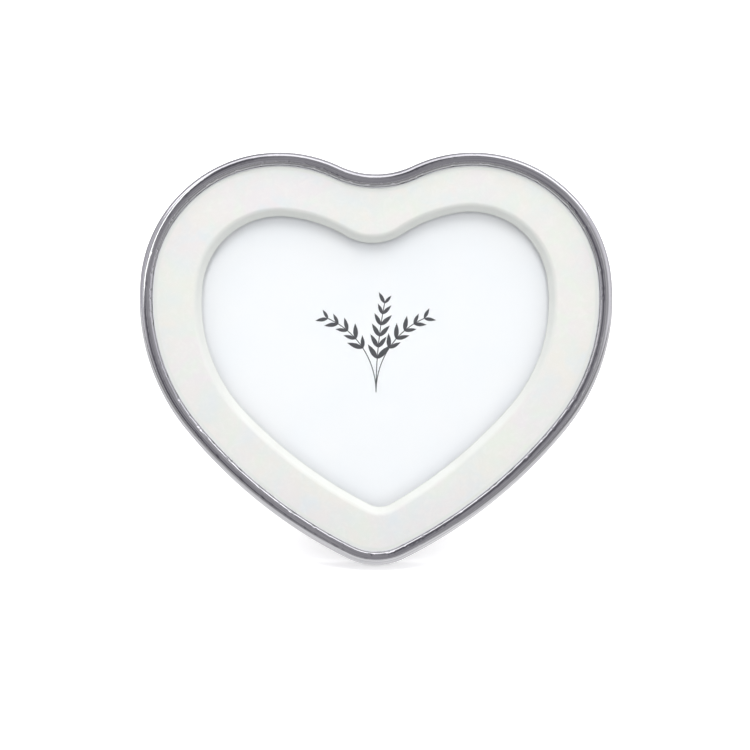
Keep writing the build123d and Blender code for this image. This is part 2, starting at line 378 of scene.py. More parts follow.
def lay_grid(tree, given):
    """A grid whose rows follow the outlines and whose columns follow the section."""
    section = put(tree, "GeometryNodeObjectInfo", {"Object": given["Section"]}).outputs["Geometry"]
    rows = work_out(tree, "ADD", given["Stations"], 1.0)
    columns = work_out(tree, "ADD", given["Corners"], 1.0)
    grid = put(tree, "GeometryNodeMeshGrid", {"Vertices X": rows, "Vertices Y": columns}).outputs["Mesh"]
    index = put(tree, "GeometryNodeInputIndex").outputs[0]
    row = work_out(tree, "FLOOR", work_out(tree, "DIVIDE", index, columns))
    column = work_out(tree, "SUBTRACT", index, work_out(tree, "MULTIPLY", row, columns))
    station = work_out(tree, "MODULO", row, given["Stations"])
    corner = work_out(tree, "MODULO", column, given["Corners"])
    position = put(tree, "GeometryNodeInputPosition").outputs[0]
    place = put(tree, "ShaderNodeSeparateXYZ", {0: read(tree, section, position, corner)}).outputs
    outline = work_out(tree, "FLOOR", place["Z"])
    share = work_out(tree, "SUBTRACT", place["Z"], outline)
    first = work_out(tree, "ADD", station, work_out(tree, "MULTIPLY", outline, given["Stations"]))
    last_outline = len(ring_order) - 1.0
    following = work_out(tree, "MINIMUM", work_out(tree, "ADD", outline, 1.0), last_outline)
    second = work_out(tree, "ADD", station, work_out(tree, "MULTIPLY", following, given["Stations"]))
    between = []
    for value in (position, named(tree, "way_out", "FLOAT_VECTOR")):
        near, far = [read(tree, given["Geometry"], value, at) for at in (first, second)]
        between.append(blend_vectors(tree, share, near, far))
    offset = work_out_vector(tree, "SCALE", between[1], place["X"])
    level = put(tree, "ShaderNodeCombineXYZ", {"Z": place["Y"]}).outputs[0]
    target = work_out_vector(tree, "ADD", work_out_vector(tree, "ADD", between[0], offset), level)
    shaped = put(tree, "GeometryNodeSetPosition", {"Geometry": grid, "Position": target}).outputs[0]
    for label in ("across", "polish", "wear"):
        stored = {"Geometry": shaped, "Name": label}
        stored["Value"] = read(tree, section, named(tree, label), corner, "FLOAT")
        shaped = put(tree, "GeometryNodeStoreNamedAttribute", stored).outputs[0]
    joined = {"Geometry": shaped, "Distance": weld_distance}
    shaped = put(tree, "GeometryNodeMergeByDistance", joined).outputs[0]
    return put(tree, "GeometryNodeFlipFaces", {"Mesh": shaped}).outputs[0]


# %% [markdown]
# ## Wear it and shade it
# Noise says where the surface lies a little deeper. Soft dents come where a mop has polished, and
# nicks come only where the noise is high and the wear column says that tools have been. Then the
# shading goes smooth, apart from the edges that turn sharply.

# %% Wear and shading of the ring tree
sharp_turn = radians(32)
nick_from = 0.55  # noise above this makes a nick
nick_steepness = 8.0  # and this much of it the full depth


def press_in(tree, given, shaped, label):
    """Pushes the surface inwards by noise: soft dents where it is polished, nicks where it wears."""
    position = put(tree, "GeometryNodeInputPosition").outputs[0]
    normal = put(tree, "GeometryNodeInputNormal").outputs[0]
    inputs = {"Vector": position, "W": given["Seed"], "Detail": 1.0}
    inputs["Scale"] = work_out(tree, "DIVIDE", 1.0, given[label + " Size"])
    cloud = put(tree, "ShaderNodeTexNoise", inputs, noise_dimensions="4D").outputs[0]
    if label == "Nick":
        cloud = work_out(tree, "MULTIPLY", work_out(tree, "SUBTRACT", cloud, nick_from), nick_steepness)
    amount = put(tree, "ShaderNodeClamp", {0: cloud}).outputs[0]
    amount = work_out(tree, "MULTIPLY", amount, named(tree, "wear" if label == "Nick" else "polish"))
    push = work_out(tree, "MULTIPLY", amount, work_out(tree, "MULTIPLY", given[label + " Depth"], -1.0))
    moved = {"Geometry": shaped, "Offset": work_out_vector(tree, "SCALE", normal, push)}
    return put(tree, "GeometryNodeSetPosition", moved).outputs[0]


def shade_round(tree, shaped):
    """Smooth shading everywhere but along edges that turn sharply."""
    smooth = put(tree, "GeometryNodeSetShadeSmooth", {0: shaped, "Shade Smooth": True}, domain="FACE")
    angle = put(tree, "GeometryNodeInputMeshEdgeAngle").outputs[0]
    sharp = compare(tree, "GREATER_THAN", angle, sharp_turn)
    creased = {0: smooth.outputs[0], "Selection": sharp, "Shade Smooth": False}
    return put(tree, "GeometryNodeSetShadeSmooth", creased, domain="EDGE").outputs[0]


# %% The ring tree
def make_ring_tree():
    """Geometry tree: carries the section of one object round the outlines of its host."""
    tree, given = open_shape_tree(
        "section_round_heart",
        [
            ("Section", "Object", None),
            ("Corners", "Int", 4),
            ("Stations", "Int", stations),
            ("Dent Depth", "Float", 0.0),
            ("Dent Size", "Float", 12 * mm),
            ("Nick Depth", "Float", 0.0),
            ("Nick Size", "Float", 1.2 * mm),
            ("Seed", "Float", 1.0),
        ],
    )
    shaped = lay_grid(tree, given)
    for label in ("Dent", "Nick"):
        shaped = press_in(tree, given, shaped, label)
    close_shape_tree(tree, shade_round(tree, shaped), given["Material"])
    return tree


ring_tree = make_ring_tree()


def carry_round(name, corners, material, **values):
    """Mesh of a section carried round the heart, stood up in its place."""
    section = section_host(corners)
    chosen = {"Section": section, "Corners": len(corners), "Material": material}
    mesh = grow_shape(outline_points, ring_tree, name, {**chosen, **titled(values)})
    mesh.transform(stand)
    drop(section)
    return mesh


print("ring tree nodes", len(ring_tree.nodes))

# %% [markdown]
# ## Finishes that several pieces share
# Polishing lines, cast grain, settled dust and a cloudy change of colour turn up on more than one
# piece. Each is a node group that is built once. A group only puts out a mask, a height or a
# colour, and the material that uses it decides what to do with that, so one group serves metal,
# enamel, card and velvet.

# %% Polish lines and cast grain
def noise(tree, vector, scale, detail=2.0, roughness=0.5, distortion=0.0):
    """A noise texture's value at a given number of cells a metre."""
    inputs = {
        "Vector": vector,
        "Scale": scale,
        "Detail": detail,
        "Roughness": roughness,
        "Distortion": distortion,
    }
    return put(tree, "ShaderNodeTexNoise", inputs).outputs[0]


def spread(tree, value, low, high, new_low=0.0, new_high=1.0):
    """Stretches a value's range to another, with its ends held."""
    inputs = {0: value, 1: low, 2: high, 3: new_low, 4: new_high}
    return put(tree, "ShaderNodeMapRange", inputs).outputs[0]


def build_polish_lines():
    """Fine lines that a polishing mop leaves along a rim, and the smears between them."""
    group, given = open_tree(
        "polish_lines",
        "ShaderNodeTree",
        [
            ("Vector", "Vector", None),
            ("Across", "Float", 0.0),
            ("Line Width", "Float", 0.2 * mm),
            ("Run", "Float", 30 * mm),
        ],
        [("Lines", "Float"), ("Smears", "Float")],
    )
    along = work_out_vector(group, "SCALE", given["Vector"], work_out(group, "DIVIDE", 1.0, given["Run"]))
    stretched = work_out(group, "DIVIDE", given["Across"], given["Line Width"])
    beside = put(group, "ShaderNodeCombineXYZ", {"Y": stretched}).outputs[0]
    lines = noise(group, work_out_vector(group, "ADD", along, beside), 1.0, detail=3.0, roughness=0.6)
    smears = noise(group, given["Vector"], 140.0, roughness=0.55, distortion=0.6)
    put(group, "NodeGroupOutput", {"Lines": lines, "Smears": spread(group, smears, 0.35, 0.7)})
    return group


def build_cast_grain():
    """The skin that metal takes from a sand mould, or any other grainy surface: a height."""
    group, given = open_tree(
        "cast_grain",
        "ShaderNodeTree",
        [("Vector", "Vector", None), ("Grain", "Float", 0.6 * mm)],
        [("Height", "Float")],
    )
    fineness = work_out(group, "DIVIDE", 1.0, given["Grain"])
    height = noise(group, given["Vector"], fineness, detail=4.0, roughness=0.65)
    put(group, "NodeGroupOutput", {"Height": height})
    return group


# %% [markdown]
# ## Clouds and dust
# Poured or pressed stuff is never one even colour: it drifts slowly between two. Dust settles on
# what faces up, in specks, so its mask reads the surface's own direction. On the enamel the same
# mask is laid on thickly, and there it is painted shade on what faces up as well as dust.

# %% Clouds and settled dust
def build_clouds():
    """A slow drift between two colours, as in poured enamel or pressed board."""
    group, given = open_tree(
        "clouds",
        "ShaderNodeTree",
        [
            ("Vector", "Vector", None),
            ("Size", "Float", 10 * mm),
            ("First", "Color", None),
            ("Second", "Color", None),
        ],
        [("Color", "Color"), ("Mask", "Float")],
    )
    fineness = work_out(group, "DIVIDE", 1.0, given["Size"])
    drift = noise(group, given["Vector"], fineness, distortion=0.4)
    mask = spread(group, drift, 0.36, 0.64)
    colour = blend_colours(group, mask, given["First"], given["Second"])
    put(group, "NodeGroupOutput", {"Color": colour, "Mask": mask})
    return group


def build_settled_dust_and_shade():
    """Dust that gathers on what faces up, in uneven specks: a mask, which on the enamel is also painted
    shade.
    """
    group, given = open_tree(
        "settled_dust",
        "ShaderNodeTree",
        [("Vector", "Vector", None), ("Amount", "Float", 0.3)],
        [("Dust", "Float")],
    )
    normal = put(group, "ShaderNodeNewGeometry").outputs["Normal"]
    facing = put(group, "ShaderNodeSeparateXYZ", {0: normal}).outputs["Z"]
    specks = spread(group, noise(group, given["Vector"], 2600.0, roughness=0.7), 0.6, 0.75)
    drift = spread(group, noise(group, given["Vector"], 60.0), 0.35, 0.7)
    dust = work_out(group, "MULTIPLY", work_out(group, "ADD", specks, drift), spread(group, facing, 0.1, 1.0))
    put(group, "NodeGroupOutput", {"Dust": work_out(group, "MULTIPLY", dust, given["Amount"])})
    return group


shared = {
    "polish_lines": build_polish_lines(),
    "cast_grain": build_cast_grain(),
    "clouds": build_clouds(),
    "settled_dust": build_settled_dust_and_shade(),
}
print("shared finishes", ", ".join(shared))

# %% [markdown]
# ## Writing a material
# Every material starts the same way: one Principled shader with the constants that hold all over,
# such as how metallic it is, set on its own sockets. What changes over the surface is linked in
# afterwards. Patterns read object coordinates, which are real metres here, so a grain of 0.6 mm is
# written as 0.6 mm.

# %% Material helpers
def open_material(name, constants):
    """A new material with a Principled shader: its tree, the shader and the place in metres."""
    material = bpy.data.materials.new(name)
    material.use_nodes = True
    tree = material.node_tree
    shader = tree.nodes["Principled BSDF"]
    for label, value in constants.items():
        shader.inputs[label].default_value = value
    place = put(tree, "ShaderNodeTexCoord").outputs["Object"]
    return material, tree, shader, place


def use(tree, name, **inputs):
    """Places a shared finish in a material and gives its outputs."""
    return put(tree, "ShaderNodeGroup", titled(inputs), node_tree=shared[name]).outputs


def relief(tree, height, depth, normal=None):
    """A bump of real depth in metres, on top of another one if its normal is given."""
    inputs = {"Height": height, "Distance": depth, "Strength": 1.0}
    if normal is not None:
        inputs["Normal"] = normal
    return put(tree, "ShaderNodeBump", inputs).outputs[0]


def link(tree, shader, **sockets):
    """Links what changes over the surface into the shader."""
    for label, value in titled(sockets).items():
        tree.links.new(value, shader.inputs[label])


def painted(tree, label):
    """A number that is stored on the mesh."""
    return put(tree, "ShaderNodeAttribute", attribute_name=label).outputs["Fac"]


def tone(red, green, blue):
    """A colour read off in the usual 0 to 255 steps, as the shader's linear numbers."""
    linear = []
    for step in (red, green, blue):
        share = step / 255
        linear.append(share / 12.92 if share <= 0.04045 else ((share + 0.055) / 1.055) ** 2.4)
    return (*linear, 1.0)


print("an ivory tone is", [round(number, 2) for number in tone(238, 238, 230)])

# %% [markdown]
# ## Aluminium, polished in front and plain behind
# A polished casting isn't a mirror: the mop leaves lines along the rim, and fingers dull it in
# places. The back is left as the mould gave it. Both are the same metal, so this is one material,
# and the mesh carries a number that says how far the mop reached. It falls early at the rim's foot,
# where the dull dark colour is also painted shade in the crease beside the enamel.

# %% Aluminium
def make_aluminium():
    """Aluminium with polishing lines where the mop reached and cast grain where it didn't."""
    material, tree, shader, place = open_material("polished_aluminium", {"Metallic": 1.0})
    polish = painted(tree, "polish")
    across = painted(tree, "across")
    lines = use(tree, "polish_lines", vector=place, across=across, line_width=0.25 * mm)
    broad = use(tree, "polish_lines", vector=place, across=across, line_width=0.8 * mm, run=50 * mm)
    grain = use(tree, "cast_grain", vector=place, grain=0.5 * mm)
    streak = spread(tree, lines["Lines"], 0.35, 0.65)
    bright = blend_colours(tree, streak, tone(206, 205, 210), tone(240, 240, 242))
    band = spread(tree, broad["Lines"], 0.38, 0.62)
    bright = blend_colours(tree, band, blend_colours(tree, 0.35, bright, tone(170, 168, 176)), bright)
    # dull colour: the cast skin of the back, and at the rim's foot also painted shade in the crease
    dull = blend_colours(tree, grain["Height"], tone(122, 122, 126), tone(166, 166, 169))
    # a mirror would have no roughness: smears and lines bring the polished part up to 0.15
    shiny = work_out(tree, "MULTIPLY_ADD", lines["Smears"], 0.05, 0.05)
    shiny = work_out(tree, "MULTIPLY_ADD", lines["Lines"], 0.05, shiny)
    matt = work_out(tree, "MULTIPLY_ADD", grain["Height"], 0.2, 0.36)
    fine = relief(tree, lines["Lines"], 0.006 * mm)
    fine = relief(tree, broad["Lines"], 0.018 * mm, normal=fine)
    coarse = relief(tree, grain["Height"], 0.09 * mm)
    link(
        tree,
        shader,
        base_color=blend_colours(tree, polish, dull, bright),
        roughness=blend_values(tree, polish, matt, shiny),
        normal=blend_vectors(tree, polish, coarse, fine),
    )
    return material


aluminium = make_aluminium()
print(aluminium.name, "nodes", len(aluminium.node_tree.nodes))

# %% [markdown]
# ## Pearly enamel
# The enamel is a warm white with mother of pearl in it: patches lean to green, blue and pink. Two
# slow clouds of different size mix those tints, and Layer Weight shifts them a little where the
# surface is seen at a slant, as pearl does. A clear coat gives the wet shine of the poured surface.
# Two numbers on the mesh say where shade is painted into the colour. Where polish fades, down the bevel
# and on the creep, the white is painted a little darker and greener. Where wear is high, on the thin
# edge that creeps up the rim, it is painted a lavender grey, as the rim's shade and reflection. Dust on
# what faces up is laid on thickly enough to be painted shade on the bevel as well.

# %% Enamel
def make_enamel():
    """Pearly enamel, with painted shade: a darker, greener white down the bevel and lavender grey up the rim.
    """
    constants = {"Coat Weight": 0.4, "Coat Roughness": 0.06, "IOR": 1.45}
    material, tree, shader, place = open_material("pearl_enamel", constants)
    green, blue = tone(231, 236, 226), tone(228, 233, 234)
    ivory, pink = tone(235, 234, 226), tone(234, 231, 231)
    green_blue = use(tree, "clouds", vector=place, size=17 * mm, first=green, second=blue)
    ivory_pink = use(tree, "clouds", vector=place, size=26 * mm, first=ivory, second=pink)
    specks = use(tree, "clouds", vector=place, size=7 * mm)
    pearl = blend_colours(tree, specks["Mask"], green_blue["Color"], ivory_pink["Color"])
    curdled = noise(tree, place, 420.0, detail=3.0, roughness=0.6, distortion=1.2)
    streaks = spread(tree, curdled, 0.45, 0.75, 0.0, 0.3)
    pearl = blend_colours(tree, streaks, pearl, tone(244, 244, 240))
    edge = put(tree, "ShaderNodeLayerWeight", {"Blend": 0.35}).outputs["Facing"]
    pearl = blend_colours(tree, work_out(tree, "MULTIPLY", edge, 0.5), pearl, tone(222, 230, 232))
    # painted shade: the bevel and the creep are painted a darker, greener white
    bevel = spread(tree, painted(tree, "polish"), 0.6, 1.0, 1.0, 0.0)
    pearl = blend_colours(tree, bevel, pearl, tone(228, 231, 226))
    # painted shade and reflection: the thin edge that creeps up the rim is painted lavender grey, as the rim
    # shades it
    crease_shade = spread(tree, painted(tree, "wear"), 0.1, 1.0, 0.0, 0.9)
    pearl = blend_colours(tree, crease_shade, pearl, tone(208, 208, 219))
    # partly dust and partly painted shade: the mask darkens what faces up, where the lamps light the bevel
    # most
    dust = use(tree, "settled_dust", vector=place, amount=0.25)
    pearl = blend_colours(tree, dust["Dust"], pearl, tone(206, 202, 194))
    gloss = work_out(tree, "MULTIPLY_ADD", specks["Mask"], 0.06, 0.16)
    ripple = relief(tree, noise(tree, place, 160.0), 0.05 * mm)
    link(tree, shader, base_color=pearl, roughness=gloss, normal=ripple)
    return material


enamel = make_enamel()
print(enamel.name, "nodes", len(enamel.node_tree.nodes))

# %% [markdown]
# ## Glass, paper and ink
# A pane that blocks shadow rays would darken the print behind it. So the shader itself stays plain
# glass, and Light Path lets shadow and diffuse rays straight through. The paper has a faint tooth.

# %% Glass, paper and ink
def make_glass():
    """Clear glass with faint smears, which lets shadow and diffuse rays straight through."""
    constants = {"Transmission Weight": 1.0, "IOR": 1.47, "Base Color": (0.985, 0.995, 0.99, 1.0)}
    material, tree, shader, place = open_material("clear_glass", constants)
    smears = spread(tree, noise(tree, place, 55.0, detail=3.0), 0.5, 0.8, 0.0, 0.03)
    link(tree, shader, roughness=smears)
    path = put(tree, "ShaderNodeLightPath").outputs
    passing = work_out(tree, "MAXIMUM", path["Is Shadow Ray"], path["Is Diffuse Ray"])
    clear = put(tree, "ShaderNodeBsdfTransparent").outputs[0]
    surface = put(tree, "ShaderNodeMixShader", {0: passing, 1: shader.outputs[0], 2: clear}).outputs[0]
    tree.links.new(surface, tree.nodes["Material Output"].inputs["Surface"])
    return material


def make_paper():
    """Coated white paper with a faint tooth."""
    material, tree, shader, place = open_material("insert_paper", {"Specular IOR Level": 0.3})
    white, blue_white = tone(252, 254, 255), tone(250, 253, 255)
    cloud = use(tree, "clouds", vector=place, size=20 * mm, first=blue_white, second=white)
    tooth = noise(tree, place, 4000.0, detail=4.0, roughness=0.7)
    dull = spread(tree, tooth, 0.3, 0.7, 0.5, 0.62)
    link(tree, shader, base_color=cloud["Color"], roughness=dull, normal=relief(tree, tooth, 0.01 * mm))
    return material


def make_ink():
    """Dark grey ink, a little uneven on the paper's tooth."""
    material, tree, shader, place = open_material("printed_ink", {"Specular IOR Level": 0.3})
    tooth = noise(tree, place, 4000.0, detail=4.0, roughness=0.7)
    shade = blend_colours(tree, spread(tree, tooth, 0.3, 0.7), tone(66, 67, 70), tone(82, 83, 86))
    link(tree, shader, base_color=shade, roughness=spread(tree, tooth, 0.3, 0.7, 0.45, 0.6))
    return material


glass, paper, ink = make_glass(), make_paper(), make_ink()
print("pane, print and ink ready")

# %% [markdown]
# ## Board, card, velvet and plated steel
# What lies behind the print is cheap and plain. The board is pressed fibre and the card is grey
# pulp, so both are clouds of colour with a fibrous grain. Velvet is almost black and lights up only
# where it is seen along its pile, which is what Sheen does. The steel has a thin nickel plate over a
# tumbled, slightly pitted surface.

# %% Board and card
def make_fibre(name, first, second, grain):
    """Pressed fibre in clouds of two tones, its grain longer one way."""
    material, tree, shader, place = open_material(name, {"Specular IOR Level": 0.25})
    cloud = use(tree, "clouds", vector=place, size=6 * mm, first=first, second=second)
    stretched = work_out_vector(tree, "MULTIPLY", place, (1.0, 0.35, 1.0))
    fibres = use(tree, "cast_grain", vector=stretched, grain=grain)
    shade = blend_colours(tree, work_out(tree, "MULTIPLY", fibres["Height"], 0.5), cloud["Color"], second)
    rough = spread(tree, fibres["Height"], 0.3, 0.7, 0.75, 0.95)
    link(tree, shader, base_color=shade, roughness=rough, normal=relief(tree, fibres["Height"], 0.05 * mm))
    return material


board_fibre = make_fibre("fibre_board", tone(139, 107, 74), tone(112, 84, 57), 0.9 * mm)
card_pulp = make_fibre("grey_card", tone(158, 155, 148), tone(138, 135, 129), 0.7 * mm)
print("nodes of the fibre", len(board_fibre.node_tree.nodes))

# %% Velvet
def make_velvet():
    """Black velvet with paler patches of painted sheen, where the brushed nap catches the light, and dust on
    what faces up.
    """
    constants = {
        "Specular IOR Level": 0.15,
        "Sheen Weight": 0.8,
        "Sheen Roughness": 0.4,
        "Sheen Tint": (0.6, 0.61, 0.66, 1.0),
    }
    material, tree, shader, place = open_material("black_velvet", constants)
    black, sheen_black = tone(20, 20, 22), tone(34, 34, 37)
    # painted sheen: paler patches where the brushed nap catches the light
    nap_sheen = use(tree, "clouds", vector=place, size=7 * mm, first=black, second=sheen_black)
    pile = noise(tree, place, 3200.0, detail=4.0, roughness=0.75)
    shade = blend_colours(tree, work_out(tree, "MULTIPLY", pile, 0.6), nap_sheen["Color"], tone(10, 10, 11))
    dust = use(tree, "settled_dust", vector=place, amount=0.12)
    shade = blend_colours(tree, dust["Dust"], shade, tone(120, 118, 114))
    rough = spread(tree, pile, 0.3, 0.7, 0.8, 1.0)
    link(tree, shader, base_color=shade, roughness=rough, normal=relief(tree, pile, 0.12 * mm))
    return material


def make_thread():
    """One cut thread of the pile: paler than the cloth, because light catches its end."""
    constants = {"Roughness": 0.55, "Specular IOR Level": 0.3, "Sheen Weight": 0.4}
    material, tree, shader, place = open_material("velvet_thread", constants)
    shade = use(tree, "clouds", vector=place, size=4 * mm, first=tone(36, 36, 39), second=tone(66, 66, 71))
    link(tree, shader, base_color=shade["Color"])
    return material


velvet, thread = make_velvet(), make_thread()
print("nodes of velvet and thread", len(velvet.node_tree.nodes), len(thread.node_tree.nodes))

# %% Plated steel
def make_steel():
    """Plated steel with tumbling lines, and dust on what faces up."""
    material, tree, shader, place = open_material("plated_steel", {"Metallic": 1.0})
    grain = use(tree, "cast_grain", vector=place, grain=0.35 * mm)
    lines = use(tree, "polish_lines", vector=place, line_width=0.15 * mm, run=4 * mm)
    shade = blend_colours(tree, grain["Height"], tone(196, 193, 186), tone(222, 220, 214))
    dust = use(tree, "settled_dust", vector=place, amount=0.15)
    shade = blend_colours(tree, dust["Dust"], shade, tone(120, 116, 108))
    rough = work_out(tree, "MULTIPLY_ADD", lines["Smears"], 0.12, 0.2)
    rough = work_out(tree, "MULTIPLY_ADD", dust["Dust"], 0.4, rough)
    link(tree, shader, base_color=shade, roughness=rough, normal=relief(tree, grain["Height"], 0.012 * mm))
    return material


steel = make_steel()
print(steel.name, "nodes", len(steel.node_tree.nodes))

# %% [markdown]
# ## The casting
# The section starts at the back edge, goes up the outer wall, over the half round rim, down to the
# floor under the enamel, down the bevel, round the lip, up the rebate and across the back. Round
# corners get many short steps, because a polished rim shows every flat. The polish column falls to
# zero where no mop gets in, and early at the foot of the rim, whose dull dark colour is also painted
# shade in the crease beside the enamel. The wear column rises to one at the foot of the rim, where the
# enameller's tools leave nicks.

# %% Section of the casting
rim_width = 4.3 * mm
rim_round = 2.1 * mm
crest_level = 11.5 * mm
back_round = 1.2 * mm
face_level = 10.0 * mm
floor_level = 9.2 * mm
ledge_level = 7.15 * mm
seat_level = 6.35 * mm
bevel_run = 2.1 * mm
bevel_skin = 0.6 * mm
bevel_slope = bevel_run / (face_level - ledge_level)
mouth_round = 0.35 * mm  # broken edge of the rebate at the back
rim_fullness = 2 / 3.2  # power that makes the rim's inner side fuller than a round
# below the first share the rim's foot is unpolished, and its dark colour is also painted shade in the crease
# beside the enamel
foot_dull_and_shaded, foot_fade = 0.6, 0.22  # shares of the rim's height: below the first no mop gets in


def quarter(steps):
    """Sine and cosine pairs from upright to level, for a quarter round."""
    return [(sin(pi / 2 * step / steps), cos(pi / 2 * step / steps)) for step in range(steps + 1)]


def casting_section():
    """Corners (outline, offset, level, polish, perhaps wear), from the back edge up over the rim."""
    corners = []
    wall_top = crest_level - rim_round
    # back corner and outer wall
    for sine, cosine in reversed(quarter(8)):
        corners.append((0, back_round * (cosine - 1), back_round * (1 - sine), cosine))
    for share in (0.2, 0.4, 0.6, 0.8):
        corners.append((0, 0.0, back_round + share * (wall_top - back_round), 1.0))
    # the rim's outer half, which is round, and its inner half, which is fuller
    for sine, cosine in quarter(16):
        corners.append((0, rim_round * (cosine - 1), wall_top + rim_round * sine, 1.0))
    for sine, cosine in reversed(quarter(20)):
        rise, run = sine**rim_fullness, cosine**rim_fullness
        # low on the rim the polish falls to zero, which paints the foot dark as shade in the crease
        polish_and_foot_shade = min(1.0, max(0.0, (rise - foot_dull_and_shaded) / foot_fade))
        offset = rim_round * (1 - run) - rim_width
        corners.append((0, offset, wall_top + rim_round * rise, polish_and_foot_shade, cosine))
    # floor under the enamel, bevel, lip and rebate
    corners.append((0, -rim_width, floor_level, 0.0))
    corners.append((1, bevel_skin + bevel_slope * (floor_level - ledge_level), floor_level, 0.0))
    corners.append((1, bevel_skin, ledge_level, 0.3))
    corners.append((1, 0.0, ledge_level, 0.6))
    corners.append((1, 0.0, seat_level, 0.3))
    corners.append((2, pocket_margin, seat_level, 0.0))
    corners.append((2, pocket_margin, mouth_round, 0.0))
    # flat back
    mouth = pocket_margin + mouth_round
    for share in (0.0, 0.25, 0.5, 0.75):
        corners.append((2 + share, mouth - share * (mouth + back_round), 0.0, 0.0))
    return corners


print("corners of the casting's section", len(casting_section()))

# %% Carry the casting round
casting_mesh = carry_round(
    "heart_casting",
    casting_section(),
    aluminium,
    dent_depth=0.07 * mm,
    dent_size=11 * mm,
    nick_depth=0.2 * mm,
    nick_size=1.7 * mm,
    seed=4.0,
)
for corner in casting_mesh.vertices:
    corner.co.z = max(corner.co.z, 0.0)  # the tip is ground flat to stand on
finish_piece(casting_mesh, "heart_casting", aluminium, "frame_casting", "frame")

# %% [markdown]
# ## The enamel
# Enamel is poured into the tray between rim and opening. It creeps a little up the metal, which
# leaves a thin bright line at the rim, and it runs over the edge and down the bevel.

# %% Section of the enamel
creep_height = 0.22 * mm
creep_run = 0.7 * mm
enamel_clearance = 0.02 * mm
shoulder_round = 1.9 * mm
drip_round = 0.12 * mm
face_steps, shoulder_steps = 14, 12


def enamel_section():
    """Corners of the enamel, from the foot of the rim over the face and down to the opening."""
    wall_top = crest_level - rim_round
    # the creep ends on the rim's fuller half: the sine there, and how far that is from the foot
    rise = ((face_level + creep_height - wall_top) / rim_round) ** (1 / rim_fullness)
    bite = rim_round * (1 - sqrt(1 - rise**2) ** rim_fullness)
    edge = bite - rim_width
    # against the rim, then the creep
    corners = [(0, -rim_width, floor_level + enamel_clearance, 0.0), (0, -rim_width, wall_top, 0.0)]
    # low polish and high wear on the creep paint it darker, as painted shade beside the rim; wear also places
    # its nicks
    for share in (0.0, 0.1, 0.22, 0.36, 0.52, 0.7, 0.85, 1.0):
        creep = creep_height * (1 - share) ** 3
        corners.append((0, edge - share * creep_run, face_level + creep, 0.2, (1 - share) ** 2))
    # face and shoulder
    bevel_angle = atan(bevel_slope)
    shoulder_reach = bevel_run + shoulder_round * tan(pi / 4 - bevel_angle / 2)
    for share in (step / face_steps for step in range(1, face_steps)):
        offset = (edge - creep_run) * (1 - share) + shoulder_reach * share
        corners.append((share, offset, face_level, 1.0))
    # down the shoulder the polish falls, which paints the bevel darker and greener, as painted shade
    for share in (step / shoulder_steps for step in range(shoulder_steps + 1)):
        angle = (pi / 2 - bevel_angle) * share
        offset = shoulder_reach - shoulder_round * sin(angle)
        level = face_level - shoulder_round * (1 - cos(angle))
        corners.append((1, offset, level, 1.0 - 0.4 * share))
    # down the bevel, and the underside
    arc_end, arc_level = corners[-1][1], corners[-1][2]
    for share in (0.25, 0.5, 0.75, 0.92):
        level = arc_level - share * (arc_level - ledge_level)
        corners.append((1, arc_end * (1 - share), level, 0.6))
    corners.append((1, 0.0, ledge_level + drip_round, 0.0))
    corners.append((1, drip_round, ledge_level + enamel_clearance, 0.0))
    corners.append((1, bevel_skin, ledge_level + enamel_clearance, 0.0))
    under = bevel_skin + bevel_slope * (floor_level - ledge_level)
    corners.append((1, under, floor_level + enamel_clearance, 0.0))
    return corners


print("corners of the enamel's section", len(enamel_section()))

# %% Carry the enamel round
enamel_mesh = carry_round(
    "enamel_pour",
    enamel_section(),
    enamel,
    dent_depth=0.06 * mm,
    dent_size=9 * mm,
    nick_depth=0.16 * mm,
    nick_size=2.2 * mm,
    seed=9.0,
)
finish_piece(enamel_mesh, "enamel_pour", enamel, "enamel_border", "frame")
drop(outline_points)

# %% [markdown]
# ## Sheets in the pocket
# Pane, print and the velvet on the board are cut to the same heart, a little smaller than the
# pocket. Their flat sides can stay one large face each. Only the edge needs care: glass has a fine
# arris ground on it, and velvet is turned over the edge of the board in a soft round.

# %% Sheets
pocket_fit = 0.4 * mm
glass_back, glass_front = 4.42 * mm, 6.33 * mm
print_back, print_front = 4.1 * mm, 4.35 * mm
velvet_back, velvet_front = 0.3 * mm, 0.8 * mm
glass_arris, print_arris = 0.15 * mm, 0.02 * mm
velvet_roll = 0.4 * mm


def lay_sheet(name, corners, count=480):
    """Closed heart shaped sheet. Its edge follows the corners (offset inwards, level)."""
    points, ways = walk_round(opening_arcs, opening_cleft_height, count)
    grown = bmesh.new()
    loops = []
    for inset, level in corners:
        edge = points + (pocket_margin - pocket_fit - inset) * ways
        loops.append([grown.verts.new((x, y, level)) for x, y in edge])
    for low, high in zip(loops, loops[1:]):
        for index in range(count):
            after = (index + 1) % count
            grown.faces.new((low[index], high[index], high[after], low[after])).smooth = True
    grown.faces.new(loops[0])
    grown.faces.new(reversed(loops[-1]))
    mesh = keep(grown, name)
    mesh.transform(stand)
    mesh.set_sharp_from_angle(angle=sharp_turn)
    return mesh


def straight_edge(back, front, arris):
    """Square edge of a sheet, with its corners taken off."""
    return [(arris, back), (0.0, back + arris), (0.0, front - arris), (arris, front)]


def rolled_edge(back, front, radius):
    """Edge of a sheet that is turned over at the back."""
    rolled = [(radius * (1 - sine), back + radius * (1 - cosine)) for sine, cosine in quarter(6)]
    return rolled + [(0.0, front)]


pane = lay_sheet("pane", straight_edge(glass_back, glass_front, glass_arris))
finish_piece(pane, "pane", glass, "glass_pane", "frame")
sheet = lay_sheet("print_sheet", straight_edge(print_back, print_front, print_arris))
finish_piece(sheet, "print_sheet", paper, "photo_print", "frame")
board_cover = lay_sheet("board_velvet", rolled_edge(velvet_back, velvet_front, velvet_roll))
finish_piece(board_cover, "board_velvet", velvet, "backing_velvet", "frame")

